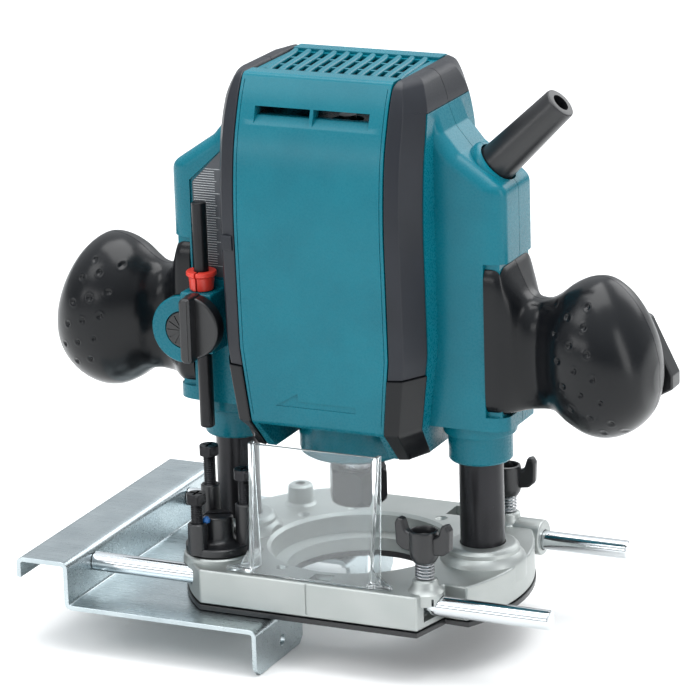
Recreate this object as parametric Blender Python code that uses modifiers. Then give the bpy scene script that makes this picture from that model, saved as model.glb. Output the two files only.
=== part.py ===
"""A compact plunge router: base, columns, motor unit, depth stop and straight guide.

Sizes are in millimetres. X runs along the two grips, Y from front to back and Z up.
Heights are measured from the sole of the base; the origin is on the spindle axis,
level with the lowest edge of the guide fence, which hangs below the sole.
"""

import math

import bmesh
import bpy
from mathutils import Matrix, Vector

MM = 0.001
GAP = 0.3                 # clearance between touching pieces
FENCE_DROP = 20.0         # how far the guide fence reaches below the sole

# Base
SOLE_RADIUS = 71.0
SOLE_FRONT = 53.0         # the disc is cut straight at the front
SOLE_REAR = 59.0          # and a little further out at the back
SOLE_THICK = 2.2
BASE_TOP = 17.0
OPENING_RADIUS = 36.5
OPENING_LOWER_RADIUS = 30.0
ROD_RADIUS = 4.0
ROD_SPACING = 85.6        # between the two guide rods
ROD_HEIGHT = 10.9
ROD_RIGHT_END = 100.8
CLAMP_X = 47.4            # the wing bolts stand over the rods here
CLAMP_BOSS_RADIUS = 5.2
CLAMP_BOSS_HEIGHT = 4.8
BOLT_WING = ((4.9, 32.5), (9.5, 33.2), (12.0, 35.4), (12.4, 44.0), (10.9, 45.8), (8.8, 45.4), (7.0, 41.2),
             (4.9, 39.6))
BOLT_WING_HALF = 2.1
BOLT_WING_TURN = 8.0      # degrees off the rod's line at rest

# Columns and plunge
COLUMN_SPACING = 108.4
COLUMN_RADIUS = 9.0
COLUMN_BORE = COLUMN_RADIUS - 2.4
COLUMN_TOP = 112.0
COLLAR_RADIUS = COLUMN_RADIUS + 6.0
COLLAR_TOP = 23.7
PLUNGE = 35.0
SPRING_RADIUS = 4.9
SPRING_WIRE = 0.8
SPRING_TURNS = 8
SPRING_FOOT = 40.0

# Motor housing
TOP = 217.0
WALL = 2.6
PANEL_HALF = 32.0         # half the width of the front and rear panels
CORNER_X = 38.0
SIDE_X = 44.0
STRIP_THICK = 2.4
CAP_LOWER = 204.0         # the corner strips widen into the top caps above this height
PAD_TOP = 100.0
PAD_PROUD = 0.8
UNDERSIDE = 76.0
LEG_BOTTOM = 60.0
NOSE_RADIUS = 23.5
NOSE_BOTTOM = 57.0
# (height, half depth, half width at the side) of the trunk
TRUNK = (
    (LEG_BOTTOM, 21.0, 40.5), (77.0, 37.5, SIDE_X), (98.0, 38.7, SIDE_X), (141.0, 40.0, SIDE_X),
    (160.0, 40.4, SIDE_X), (175.0, 39.6, SIDE_X), (187.0, 38.1, SIDE_X), (195.0, 36.2, SIDE_X),
    (205.0, 32.9, 43.3), (211.0, 30.4, 41.6), (TOP, 26.9, 39.0),
)

# Wings round the columns
WING_HALF = 17.0
WING_END = 72.4
WING_ROUND = 6.0
CORE_HALF = 15.0
CORE_END = 70.0
ROOT_START = 64.0
ROOT_LOW = 82.0
ROOT_HIGH = 144.0
BOSS_BOTTOM = 59.4
BUSH_RADIUS = COLUMN_RADIUS + 2.0
BOSS_RADIUS = BUSH_RADIUS + 2.0
BUSH_TOP = 86.0
SEAT_Z = 150.0            # the plunge springs push up against a web at this height
CORD_AT = (61.5, 0.0, 179.0)
CORD_ANGLE = 44.0         # degrees above the horizontal
ROUND_BOSS = (-64.5, 106.5)
ROUND_BOSS_RADIUS = 14.0
ROUND_BOSS_FRONT = -20.5
LEVER_PIVOT = (-59.5, 112)

# Spindle and motor
NUT_FLATS = 22.0
NUT_LOW, NUT_HIGH = 30.5, 50.0
BIT_RADIUS = 4.0
COLLAR_SHAFT_RADIUS = 7.5
SHAFT_RADIUS = 5.0
SHAFT_TOP = 196.0
LOWER_BEARING = (61.0, 69.0, 13.0)     # low, high, outer radius
UPPER_BEARING = (185.0, 191.0, 9.5)
FAN = (82.0, 94.0, 30.0)
CORE = (104.0, 148.0, 18.0)
STATOR = (100.0, 152.0, 31.0)
COMMUTATOR = (158.0, 172.0, 11.0)

# Depth stop
POLE_X, POLE_Y, POLE_RADIUS = -56.0, -23.0, 3.0
POLE_LOW, POLE_HIGH = 67.5, 161.4
HOLDER_LOW, HOLDER_HIGH = 100.0, 125.0
KNOB_Z = 112.5
KNOB_RADIUS = 13.0
TURRET_X, TURRET_Y, TURRET_RADIUS = -48.8, -32.4, 13.5
TURRET_SEAT = 19.0
STOP_CIRCLE = 11.5
STOPS = (("tall", 130.0, 43.5, 60.0), ("middle", 10.0, 39.4, 54.0), ("short", 250.0, 33.4, 46.0))

# Straight guide
SHEET = 2.0
GUIDE_HALF = 67.0
GUIDE_WALL_X = -101.0
FENCE_X = -17.0
FENCE_GAP_HALF = 24.0

# Chip deflector
SHIELD_HALF = 28.5
SHIELD_TOP = 69.5
SHIELD_WALL = 1.6
SHIELD_BACK = 39.5

# Grips: (distance from the axis, lowest, highest, front depth, rear depth, squareness)
GRIP = (
    (ROOT_START, 82.0, 144.0, 17.6, 17.6, 7.0), (70.0, 82.0, 143.0, 17.4, 17.4, 6.5),
    (73.0, 82.3, 137.0, 15.8, 15.8, 5.0), (77.0, 82.8, 129.5, 12.6, 12.6, 3.4),
    (82.0, 83.2, 127.8, 11.6, 11.6, 2.8), (86.0, 83.4, 128.6, 13.6, 12.6, 2.5),
    (90.0, 82.6, 131.0, 17.8, 15.2, 2.3), (96.0, 78.6, 135.6, 22.2, 18.0, 2.2),
    (103.0, 75.2, 138.6, 24.8, 19.4, 2.15), (110.0, 74.4, 138.6, 25.4, 19.6, 2.1),
    (117.0, 76.4, 134.0, 24.0, 18.4, 2.1), (123.0, 80.4, 126.4, 20.4, 15.6, 2.1),
    (127.5, 86.0, 117.0, 15.2, 11.6, 2.1), (130.4, 93.0, 107.5, 8.0, 6.0, 2.0),
)

COLUMN_X = COLUMN_SPACING / 2
ROD_Y = ROD_SPACING / 2


# ---------------------------------------------------------------- tools

def world(x, y, z):
    """A point given in millimetres above the sole, in metres above the fence's lower edge."""
    return Vector((x * MM, y * MM, (z + FENCE_DROP) * MM))


def material(name, colour, roughness, metallic=0.0):
    made = bpy.data.materials.get(name) or bpy.data.materials.new(name)
    made.use_nodes = True
    shader = made.node_tree.nodes["Principled BSDF"]
    shader.inputs["Base Color"].default_value = (*colour, 1.0)
    shader.inputs["Roughness"].default_value = roughness
    shader.inputs["Metallic"].default_value = metallic
    made.diffuse_color = (*colour, 1.0)
    return made


def link(name, data, finish):
    """An object in the part's collection, or a hidden cutter when it has no finish."""
    made = bpy.data.objects.new(name, data)
    if finish:
        data.materials.append(material(*finish))
        PARTS.objects.link(made)
    else:
        CUTTERS.objects.link(made)
        made.hide_render = True
        made.display_type = "WIRE"
    return made


def from_bmesh(name, bm, finish):
    bmesh.ops.recalc_face_normals(bm, faces=bm.faces)
    data = bpy.data.meshes.new(name)
    bm.to_mesh(data)
    bm.free()
    data.shade_smooth()
    data.set_sharp_from_angle(angle=math.radians(35))
    return link(name, data, finish)


def box(name, low, high, finish=None):
    bm = bmesh.new()
    bmesh.ops.create_cube(bm, size=1.0)
    middle = (world(*low) + world(*high)) / 2
    size = world(*high) - world(*low)
    for vert in bm.verts:
        vert.co = Vector(v * s for v, s in zip(vert.co, size)) + middle
    return from_bmesh(name, bm, finish)


def prism(name, outline, axis, low, high, finish=None):
    """An outline swept along x, y or z; its points are in the other two axes' order."""
    def place(a, b, along):
        return {"x": (along, a, b), "y": (a, along, b), "z": (a, b, along)}[axis]
    bm = bmesh.new()
    face = bm.faces.new([bm.verts.new(world(*place(a, b, low))) for a, b in outline])
    grown = bmesh.ops.extrude_face_region(bm, geom=[face])["geom"]
    step = world(*place(0, 0, high)) - world(*place(0, 0, low))
    bmesh.ops.translate(bm, vec=step, verts=[v for v in grown if isinstance(v, bmesh.types.BMVert)])
    return from_bmesh(name, bm, finish)


def cylinder(name, centre, radius, low, high, axis="z", sides=32, finish=None):
    """A cylinder along one axis; centre gives the other two coordinates in order."""
    ring = arc(centre[0], centre[1], radius, 0, 360, sides, closed=True)
    return prism(name, ring, axis, low, high, finish)


def turned(name, profile, base, finish=None, axis=(0, 0, 1), sides=32):
    """A profile of (radius, height) points, from the top down the outside, turned about an axis."""
    closed = profile[0][0] > 0
    bm = bmesh.new()
    verts = [bm.verts.new((radius * MM, 0, height * MM)) for radius, height in profile]
    for first, second in zip(verts, verts[1:]):
        bm.edges.new((first, second))
    if closed:
        bm.edges.new((verts[-1], verts[0]))
    data = bpy.data.meshes.new(name)
    bm.to_mesh(data)
    bm.free()
    made = link(name, data, finish)
    made.location = world(*base)
    made.rotation_euler = Vector((0, 0, 1)).rotation_difference(Vector(axis)).to_euler()
    screw = made.modifiers.new("Turn", "SCREW")
    screw.steps = screw.render_steps = sides
    screw.use_merge_vertices = True
    screw.merge_threshold = 0.00001
    screw.use_smooth_shade = False
    return made


def loft(name, sections, finish=None, split=False):
    """A solid through closed sections with equal counts of points; split makes triangles of it."""
    bm = bmesh.new()
    rings = [[bm.verts.new(world(*point)) for point in section] for section in sections]
    count = len(sections[0])
    for lower, upper in zip(rings, rings[1:]):
        for i in range(count):
            j = (i + 1) % count
            bm.faces.new((lower[i], lower[j], upper[j], upper[i]))
    bm.faces.new(rings[0])
    bm.faces.new(rings[-1])
    if split:
        bmesh.ops.triangulate(bm, faces=bm.faces)
    return from_bmesh(name, bm, finish)


def wire(name, points, radius, finish):
    curve = bpy.data.curves.new(name, "CURVE")
    curve.dimensions = "3D"
    curve.bevel_depth = radius * MM
    curve.bevel_resolution = 1
    curve.use_fill_caps = True
    spline = curve.splines.new("POLY")
    spline.points.add(len(points) - 1)
    for target, point in zip(spline.points, points):
        target.co = (*world(*point), 1.0)
    return link(name, curve, finish)


def arc(cx, cy, radius, start, end, count, closed=False):
    """Points on an arc in degrees; a closed ring leaves its last point out."""
    steps = count if closed else count - 1
    angles = (math.radians(start + (end - start) * i / steps) for i in range(count))
    return [(cx + radius * math.cos(a), cy + radius * math.sin(a)) for a in angles]


def boolean(target, operation, others):
    for other in others:
        step = target.modifiers.new(operation.title() + " " + other.name, "BOOLEAN")
        step.operation = operation
        step.object = other
    return target


def cut(target, *others):
    return boolean(target, "DIFFERENCE", others)


def join(target, *others):
    return boolean(target, "UNION", others)


def keep(target, other):
    return boolean(target, "INTERSECT", [other])


def bevel(target, width, segments=2, angle=30):
    step = target.modifiers.new("Round", "BEVEL")
    step.width = width * MM
    step.segments = segments
    step.limit_method = "ANGLE"
    step.angle_limit = math.radians(angle)
    return target


def set_origin(target, x, y, z):
    """Moves an object's origin onto its joint's axis and leaves the shape where it is."""
    target.data.transform(Matrix.Translation(-world(x, y, z)))
    target.location = world(x, y, z)
    return target


def hexagon(cx, cy, flats):
    return arc(cx, cy, flats / math.sqrt(3), 0, 360, 6, closed=True)


def coil(cx, cy, low, high, radius, turns, per_turn=8):
    """Points of a compression spring with its axis upright."""
    count = turns * per_turn
    turn = 2 * math.pi / per_turn
    return [(cx + radius * math.cos(i * turn), cy + radius * math.sin(i * turn),
             low + (high - low) * i / count) for i in range(count + 1)]


TEAL = ("teal_plastic", (0.012, 0.21, 0.29), 0.42)
CHARCOAL = ("charcoal_plastic", (0.05, 0.054, 0.065), 0.45)
RUBBER = ("black_rubber", (0.022, 0.023, 0.026), 0.5)
BLACK = ("black_plastic", (0.02, 0.02, 0.022), 0.4)
CAST = ("cast_aluminium", (0.62, 0.63, 0.62), 0.42, 0.9)
ZINC = ("zinc_plated_steel", (0.66, 0.68, 0.70), 0.35, 1.0)
CHROME = ("chromed_steel", (0.75, 0.76, 0.78), 0.12, 1.0)
STEEL = ("ground_steel", (0.55, 0.55, 0.56), 0.3, 1.0)
BLACK_STEEL = ("blackened_steel", (0.03, 0.03, 0.033), 0.35, 0.7)
CLEAR = ("clear_polycarbonate", (0.85, 0.9, 0.92), 0.08)
RED = ("red_plastic", (0.62, 0.03, 0.02), 0.4)
COPPER = ("enamelled_copper", (0.55, 0.19, 0.07), 0.35, 0.9)
IRON = ("laminated_iron", (0.25, 0.25, 0.26), 0.5, 0.8)
SCALE = ("printed_scale", (0.1, 0.11, 0.12), 0.5)
WHITE = ("white_nylon", (0.75, 0.75, 0.72), 0.5)
CARBON = ("carbon", (0.03, 0.03, 0.03), 0.7)


# ---------------------------------------------------------------- base

def base_outline(radius, low, high, name, finish=None):
    disc = cylinder(name, (0, 0), radius, low, high, sides=48, finish=finish)
    straight = box(name + "_edges", (-radius - 1, -SOLE_FRONT, low - 1), (radius + 1, SOLE_REAR, high + 1))
    return keep(disc, straight)


def rod_bore(name, side, low, high):
    return cylinder(name, (side * ROD_Y, ROD_HEIGHT), ROD_RADIUS + GAP, low, high, "x", 20)


def build_base():
    casting = base_outline(SOLE_RADIUS, SOLE_THICK + GAP, BASE_TOP, "base_casting", CAST)
    cut(casting, box("corner_notch", (50.5, -60, 0), (80, -34.8, 30)))
    for side in (-1, 1):
        column = side * COLUMN_X
        join(casting, cylinder(f"collar_{side}", (column, 0), COLLAR_RADIUS, 10, COLLAR_TOP, sides=28),
             cylinder(f"collar_foot_{side}", (column, 0), COLLAR_RADIUS + 2, 10, COLLAR_TOP - 4, sides=28),
             cylinder(f"clamp_boss_{side}", (CLAMP_X, side * ROD_Y), CLAMP_BOSS_RADIUS, 12,
                      BASE_TOP + CLAMP_BOSS_HEIGHT, sides=16))
    join(casting, cylinder("rod_nose", (ROD_Y, ROD_HEIGHT + 1), 7, 45, 64, "x", 20),
         cylinder("turret_pedestal", (TURRET_X, TURRET_Y), TURRET_RADIUS + 0.6, 12, TURRET_SEAT, sides=28),
         cylinder("rear_post", (-43.5, 36), 5.2, 12, BASE_TOP + 8.5, sides=16))
    keep(casting, box("above_sole", (-90, -SOLE_FRONT, SOLE_THICK + GAP), (90, SOLE_REAR, 40)))
    cut(casting, cylinder("opening", (0, 0), OPENING_RADIUS, 11, 30, sides=40),
        cylinder("opening_lower", (0, 0), OPENING_LOWER_RADIUS, -1, 12, sides=40),
        box("shield_window", (-1, -47.5, -5), (7.5, -40.5, 30)),
        box("front_notch", (-0.8, -60, 4), (0.8, -SOLE_FRONT + 0.6, 30)))
    for side in (-1, 1):
        cut(casting, rod_bore(f"rod_bore_{side}", side, -90, 90),
            cylinder(f"column_bore_{side}", (side * COLUMN_X, 0), COLUMN_RADIUS + GAP, 5, 40, sides=28),
            cylinder(f"clamp_bore_{side}", (CLAMP_X, side * ROD_Y), 2.4 + GAP, ROD_HEIGHT, 40, sides=12))
    cut(casting, box("rod_pocket", (47, -ROD_Y - 5.5, 5.2), (53, -ROD_Y + 5.5, 15.2)))

    sole = base_outline(SOLE_RADIUS + 0.4, 0, SOLE_THICK, "sub_base", BLACK)
    cut(sole, cylinder("sole_opening", (0, 0), OPENING_LOWER_RADIUS, -1, 5, sides=40),
        box("sole_window", (-1, -47.5, -5), (7.5, -40.5, 30)))
    for number, angle in enumerate((60, 240), 1):
        x, y = 42 * math.cos(math.radians(angle)), 42 * math.sin(math.radians(angle))
        cut(sole, cylinder(f"screw_sink_{number}", (x, y), 3.9, -1, 1.3, sides=20),
            cylinder(f"screw_hole_{number}", (x, y), 2.1, 1, 4, sides=16))
        cut(casting, cylinder(f"screw_thread_{number}", (x, y), 2.1, 1, 10.5, sides=16))
        turned(f"sole_screw_{number}", ((0, 9.5), (1.7, 9.5), (1.7, 1.8), (1.9, 1.25), (3.6, 1.0),
                                        (3.6, 0.4), (0, 0.4)), (x, y, 0), STEEL, sides=16)


def build_columns():
    for side, word in ((-1, "left"), (1, "right")):
        x = side * COLUMN_X
        turned(f"column_{word}",
               ((0, SPRING_FOOT - 1), (COLUMN_BORE, SPRING_FOOT - 1), (COLUMN_BORE, COLUMN_TOP),
                (COLUMN_RADIUS - 0.6, COLUMN_TOP), (COLUMN_RADIUS, COLUMN_TOP - 0.6),
                (COLUMN_RADIUS, 5 + GAP), (0, 5 + GAP)),
               (x, 0, 0), BLACK_STEEL, sides=28)
        wire(f"plunge_spring_{word}",
             coil(x, 0, SPRING_FOOT, SEAT_Z - 1.2, SPRING_RADIUS, SPRING_TURNS), SPRING_WIRE, STEEL)


def build_rod_clamps():
    spring_low = BASE_TOP + CLAMP_BOSS_HEIGHT + 0.8
    knob_low = spring_low + 6.4
    for side, word in ((-1, "front"), (1, "rear")):
        y = side * ROD_Y
        wire(f"clamp_spring_{word}", coil(CLAMP_X, y, spring_low, knob_low - 0.8, 3.5, 4), 0.45, STEEL)
        bolt = turned(f"wing_bolt_{word}",
                      ((0, 40.5), (2.2, 40.5), (2.2, 38.8), (4.4, 38.8), (4.4, 42), (5.8, 42),
                       (5.8, knob_low + 3), (4.6, knob_low), (2.4, knob_low),
                       (2.4, ROD_HEIGHT + ROD_RADIUS + GAP + 0.6),
                       (1.8, ROD_HEIGHT + ROD_RADIUS + GAP), (0, ROD_HEIGHT + ROD_RADIUS + GAP)),
                      (CLAMP_X, y, 0), BLACK, sides=20)
        for way in (-1, 1):
            wing = prism(f"wing_{word}_{way}", [(CLAMP_X + way * a, b) for a, b in BOLT_WING],
                         "y", y - BOLT_WING_HALF, y + BOLT_WING_HALF)
            set_origin(wing, CLAMP_X, y, 0)
            wing.rotation_euler = (0, 0, math.radians(side * BOLT_WING_TURN))
            join(bolt, wing)


def build_turret():
    disc = turned("turret", ((0, 34.5), (5.4, 34.5), (6.2, 33.6), (6.2, 26), (7.2, 23.4), (12.6, 22.4),
                             (TURRET_RADIUS, 21.6), (TURRET_RADIUS, TURRET_SEAT + GAP),
                             (0, TURRET_SEAT + GAP)), (TURRET_X, TURRET_Y, 0), BLACK, sides=32)
    cut(disc, box("turret_slot", (TURRET_X - 8, TURRET_Y - 0.9, 32.6), (TURRET_X + 8, TURRET_Y + 0.9, 40)))
    for word, angle, barrel, top in STOPS:
        x = TURRET_X + STOP_CIRCLE * math.cos(math.radians(angle))
        y = TURRET_Y + STOP_CIRCLE * math.sin(math.radians(angle))
        post = cylinder(f"stop_barrel_{word}", (x, y), 3.8, 20.5, barrel, sides=16)
        join(disc, post)
        cut(disc, cylinder(f"stop_bore_{word}", (x, y), 2.5 + GAP, 22.2, barrel + 5, sides=16))
        head = top - 4.2
        screw = turned(f"stop_screw_{word}",
                       ((0, top), (3.4, top), (4.2, top - 1.2), (4.2, head + 0.6), (3.6, head), (2.5, head),
                        (2.5, barrel - 8.5), (0, barrel - 8.5)), (x, y, 0), BLACK_STEEL, sides=16)
        cut(screw, box(f"cross_a_{word}", (x - 3, y - 0.5, top - 1.6), (x + 3, y + 0.5, top + 2)),
            box(f"cross_b_{word}", (x - 0.5, y - 3, top - 1.6), (x + 0.5, y + 3, top + 2)))


def sheet_outline(path, thick):
    """The outline of a bent sheet whose left-hand face follows the path's right-angled corners."""
    outer, inner = [], []
    half = thick / 2
    for i, point in enumerate(path):
        before = Vector(path[max(i - 1, 0)])
        after = Vector(path[min(i + 1, len(path) - 1)])
        here = Vector(point)
        sides = []
        if i > 0:
            sides.append((here - before).normalized())
        if i < len(path) - 1:
            sides.append((after - here).normalized())
        normals = [Vector((-side.y, side.x)) for side in sides]
        offset = normals[0] if len(normals) == 1 else normals[0] + normals[1]
        outer.append(tuple(here + offset * half))
        inner.append(tuple(here - offset * half))
    return outer + inner[::-1]


def build_guide():
    path = ((-122.5, 9.2), (-122.5, 17.0), (GUIDE_WALL_X, 17.0), (GUIDE_WALL_X, -1.3),
            (FENCE_X, -1.3), (FENCE_X, -FENCE_DROP))
    plate = prism("guide_plate", sheet_outline(path, SHEET), "y", -GUIDE_HALF, GUIDE_HALF, ZINC)
    cut(plate, box("fence_gap", (FENCE_X - 6, -FENCE_GAP_HALF, -30), (FENCE_X + 6, FENCE_GAP_HALF, 2)),
        box("clear_of_cutter", (FENCE_X - 22, -20, -30), (FENCE_X + 6, 20, 2)))
    for side in (-1, 1):
        cut(plate, cylinder(f"fence_hole_{side}", (side * 43, -12.5), 2.1, FENCE_X - 5, FENCE_X + 5, "x", 16))
    bevel(plate, 1.4, 1, 60)
    profile = ((0, ROD_RIGHT_END), (ROD_RADIUS - 0.7, ROD_RIGHT_END), (ROD_RADIUS, ROD_RIGHT_END - 0.7),
               (ROD_RADIUS, GUIDE_WALL_X + 1 + GAP), (0, GUIDE_WALL_X + 1 + GAP))
    for side, word in ((-1, "front"), (1, "rear")):
        rod = turned(f"guide_rod_{word}", profile, (0, side * ROD_Y, ROD_HEIGHT), CHROME, axis=(1, 0, 0),
                     sides=20)
        rod.rotation_euler = (0, math.radians(90), 0)


def shield_section(height, half, front):
    """A U open to the back: a front wall, two rounded corners and two side walls."""
    inner = half - SHIELD_WALL
    face = front - SHIELD_WALL
    outside = [(half, -SHIELD_BACK), *arc(half - 3, -front + 3, 3, 0, -90, 4),
               *arc(-half + 3, -front + 3, 3, -90, -180, 4), (-half, -SHIELD_BACK)]
    inside = [(-inner, -SHIELD_BACK), *arc(-inner + 1.4, -face + 1.4, 1.4, 180, 270, 4),
              *arc(inner - 1.4, -face + 1.4, 1.4, 270, 360, 4), (inner, -SHIELD_BACK)]
    return [(x, y, height) for x, y in outside + inside]


def build_shield():
    low = BASE_TOP + GAP
    shield = loft("chip_deflector", [shield_section(low, SHIELD_HALF - 1.6, 51.0),
                                     shield_section(SHIELD_TOP, SHIELD_HALF, 43.6)], CLEAR)
    for side in (-1, 1):
        tab = prism(f"shield_tab_{side}", [(side * 25.6, -51), (side * 36.5, -50), (side * 26.0, -40.5)],
                    "z", low, low + 1.8)
        join(shield, tab)


# ---------------------------------------------------------------- motor housing

def trunk_at(height):
    """(half depth, half width) of the trunk at a height, between the rows of TRUNK."""
    for (z0, d0, s0), (z1, d1, s1) in zip(TRUNK, TRUNK[1:]):
        if height <= z1:
            t = (height - z0) / (z1 - z0)
            return d0 + (d1 - d0) * t, s0 + (s1 - s0) * t
    return TRUNK[-1][1:]


def levels(low, high):
    return [low] + [row[0] for row in TRUNK if low + 1 < row[0] < high - 1] + [high]


def trunk_section(height, inset=0.0, stepped=False):
    """The trunk's plan: flat panels, a chamfered corner and flat sides."""
    depth, side = trunk_at(height)
    corner = CORNER_X - max(0.0, SIDE_X - side) * 0.5
    if stepped:
        deep = STRIP_THICK + 2.5 * GAP
        quarter = [(PANEL_HALF, -depth), (PANEL_HALF, -depth + deep),
                   (corner - deep, -depth + 1.6 + deep * 0.7), (side - deep, -depth + 12.5 + GAP),
                   (side, -depth + 12.5 + GAP)]
    else:
        quarter = [(PANEL_HALF - inset, -depth + inset), (corner - inset, -depth + 1.6 + inset * 1.6),
                   (side - inset, -depth + 12.5 + inset * 0.4)]
    back = [(x, -y) for x, y in reversed(quarter)]
    right = quarter + back
    return [(x, y, height) for x, y in right + [(-x, y) for x, y in reversed(right)]]


def strip_section(height, proud=0.0):
    """One corner strip's plan at the front right, from the panel round to the side."""
    depth, side = trunk_at(height)
    corner = CORNER_X - max(0.0, SIDE_X - side) * 0.5
    deep = STRIP_THICK
    first = PANEL_HALF + GAP
    outer = [(first, -depth - proud), (corner + proud * 0.7, -depth + 1.6 - proud),
             (side + proud, -depth + 12.5)]
    inner = [(side - deep, -depth + 12.5), (corner - deep, -depth + 1.6 + deep * 0.7),
             (first, -depth + deep)]
    return [(x, y, height) for x, y in outer + inner]


def cap_section(height):
    """The top cap's plan at the front right, which runs back to the parting line."""
    depth, side = trunk_at(height)
    corner = CORNER_X - max(0.0, SIDE_X - side) * 0.5
    deep = STRIP_THICK
    first = PANEL_HALF + GAP
    outer = [(first, -depth), (corner, -depth + 1.6), (side, -depth + 12.5), (side, -GAP / 2)]
    inner = [(side - deep, -GAP / 2), (side - deep, -depth + 12.5),
             (corner - deep, -depth + 1.6 + deep * 0.7), (first, -depth + deep)]
    return [(x, y, height) for x, y in outer + inner]


def flip(sections, x_sign, y_sign):
    return [[(x * x_sign, y * y_sign, z) for x, y, z in section] for section in sections]


def wing_outline(side, end):
    top = [(30, CAP_LOWER - GAP), (43.4, CAP_LOWER - GAP), (46.4, 195.0), (53.3, 187.0),
           (end - 1.0, 174.9), (end, 173.0), (end, UNDERSIDE), (30, UNDERSIDE)]
    return [(side * x, z) for x, z in top]


def stop_relief(word, number):
    """Room for the tallest stop screw at one of the turret's places, with the motor plunged all the way."""
    angle, top = math.radians(STOPS[number][1]), STOPS[0][3]
    x = TURRET_X + STOP_CIRCLE * math.cos(angle)
    y = TURRET_Y + STOP_CIRCLE * math.sin(angle)
    return cylinder(f"stop_relief_{word}_{number}", (x, y), 5.3, 50, top + PLUNGE + 1.3, sides=20)


def trunk_body(name):
    """The whole housing's outside with its cavities, before it is parted front from rear."""
    low, high = LEG_BOTTOM, TOP - 3.3
    body = loft(name, [trunk_section(z, stepped=True) for z in levels(low, CAP_LOWER - GAP)], TEAL)
    upper = loft(name + "_upper", [trunk_section(z, STRIP_THICK + GAP) for z in levels(CAP_LOWER - 4, high)])
    front = [[(-PANEL_HALF, -trunk_at(z)[0], z), (PANEL_HALF, -trunk_at(z)[0], z),
              (PANEL_HALF, -trunk_at(z)[0] + 8, z), (-PANEL_HALF, -trunk_at(z)[0] + 8, z)]
             for z in levels(CAP_LOWER - 4, TOP)]
    join(body, upper, loft(name + "_panel_a", front), loft(name + "_panel_b", flip(front, 1, -1)))
    for side in (-1, 1):
        wing = prism(f"{name}_wing_{side}", wing_outline(side, WING_END), "y", -WING_HALF, WING_HALF)
        bevel(wing, WING_ROUND, 2, 50)
        join(body, wing)
    arch = prism(name + "_arch", [(-22, 40), (-26.5, UNDERSIDE), (26.5, UNDERSIDE), (22, 40)], "y", -60, 60)
    cavity = loft(name + "_cavity", [trunk_section(z, STRIP_THICK + GAP + WALL)
                                     for z in levels(UNDERSIDE + WALL, high - WALL)])
    cut(body, arch, cavity)
    for side in (-1, 1):
        hollow = [(side * x, z) for x, z in
                  ((36, UNDERSIDE + WALL), (CORE_END - WALL, UNDERSIDE + WALL), (CORE_END - WALL, 170.5),
                   (52.5, 182.5), (45.0, 189.0), (36, 196.0))]
        cut(body, prism(f"{name}_hollow_{side}", hollow, "y", -CORE_HALF + WALL, CORE_HALF - WALL))
        x = side * COLUMN_X
        join(body, cylinder(f"{name}_boss_{side}", (x, 0), BOSS_RADIUS, BOSS_BOTTOM, BUSH_TOP, sides=28),
             cylinder(f"{name}_boss_ring_{side}", (x, 0), BOSS_RADIUS + 1.8, 71, UNDERSIDE + 1, sides=28),
             box(f"{name}_seat_{side}", (x - 12, -CORE_HALF + 1, SEAT_Z),
                 (x + 12.5, CORE_HALF - 1, SEAT_Z + 3)))
        cut(body, cylinder(f"{name}_bush_bore_{side}", (x, 0), BUSH_RADIUS + GAP, BOSS_BOTTOM + 1.5,
                           BUSH_TOP + 1, sides=28),
            cylinder(f"{name}_column_way_{side}", (x, 0), COLUMN_RADIUS + 0.5, 50, BUSH_TOP, sides=28))
        root = box(f"{name}_root_{side}", (min(side * (ROOT_START - GAP), side * 90), -40, ROOT_LOW - GAP),
                   (max(side * (ROOT_START - GAP), side * 90), 40, ROOT_HIGH + GAP))
        cut(root, box(f"{name}_core_{side}", (min(side * 50, side * CORE_END), -CORE_HALF, 60),
                      (max(side * 50, side * CORE_END), CORE_HALF, 170)))
        cut(body, root)
    nose = cylinder(name + "_nose", (0, 0), NOSE_RADIUS, NOSE_BOTTOM, UNDERSIDE + 1, sides=36)
    shelf = box(name + "_shelf", (-42, -12, 183), (42, 12, 194))
    join(body, nose, shelf)
    low_b, high_b, radius_b = LOWER_BEARING
    up_low, up_high, up_radius = UPPER_BEARING
    cut(body, cylinder(name + "_bearing_low", (0, 0), radius_b + GAP, low_b - GAP, UNDERSIDE + 6, sides=28),
        cylinder(name + "_shaft_way", (0, 0), COLLAR_SHAFT_RADIUS + 1, 50, low_b + 1, sides=20),
        cylinder(name + "_bearing_up", (0, 0), up_radius + GAP, 182, up_high + GAP, sides=24),
        cylinder(name + "_shaft_up", (0, 0), 6.5, up_high, 205, sides=16),
        box(name + "_top_opening", (-27, -19, CAP_LOWER + 1), (27, 19, TOP + 8)))
    for y_sign in (-1, 1):
        for x in (-20.5, 1.0):
            slot = box(f"{name}_vent_{y_sign}_{x}", (x, min(y_sign * 24, y_sign * 45), 202.0),
                       (x + 18.5, max(y_sign * 24, y_sign * 45), 205.5))
            cut(body, slot)
    socket = cord_frame(-4, 3)
    cut(join(body, round_between(name + "_socket_ring", socket[0], socket[1], 11.0)),
        round_between(name + "_socket_bore", cord_frame(-14, 0)[0], cord_frame(0, 12)[1], 8.9))
    return body


def cord_frame(first, second):
    """Two points along the cord guard's axis, measured outwards from the housing's surface."""
    slope = math.radians(CORD_ANGLE)
    return [(CORD_AT[0] + t * math.cos(slope), 0.0, CORD_AT[2] + t * math.sin(slope))
            for t in (first, second)]


def round_between(name, first, second, radius, finish=None):
    start, end = Vector(first), Vector(second)
    direction = (end - start).normalized()
    length = (end - start).length
    return turned(name, ((0, length), (radius, length), (radius, 0), (0, 0)), first, finish,
                  axis=direction, sides=24)


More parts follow.
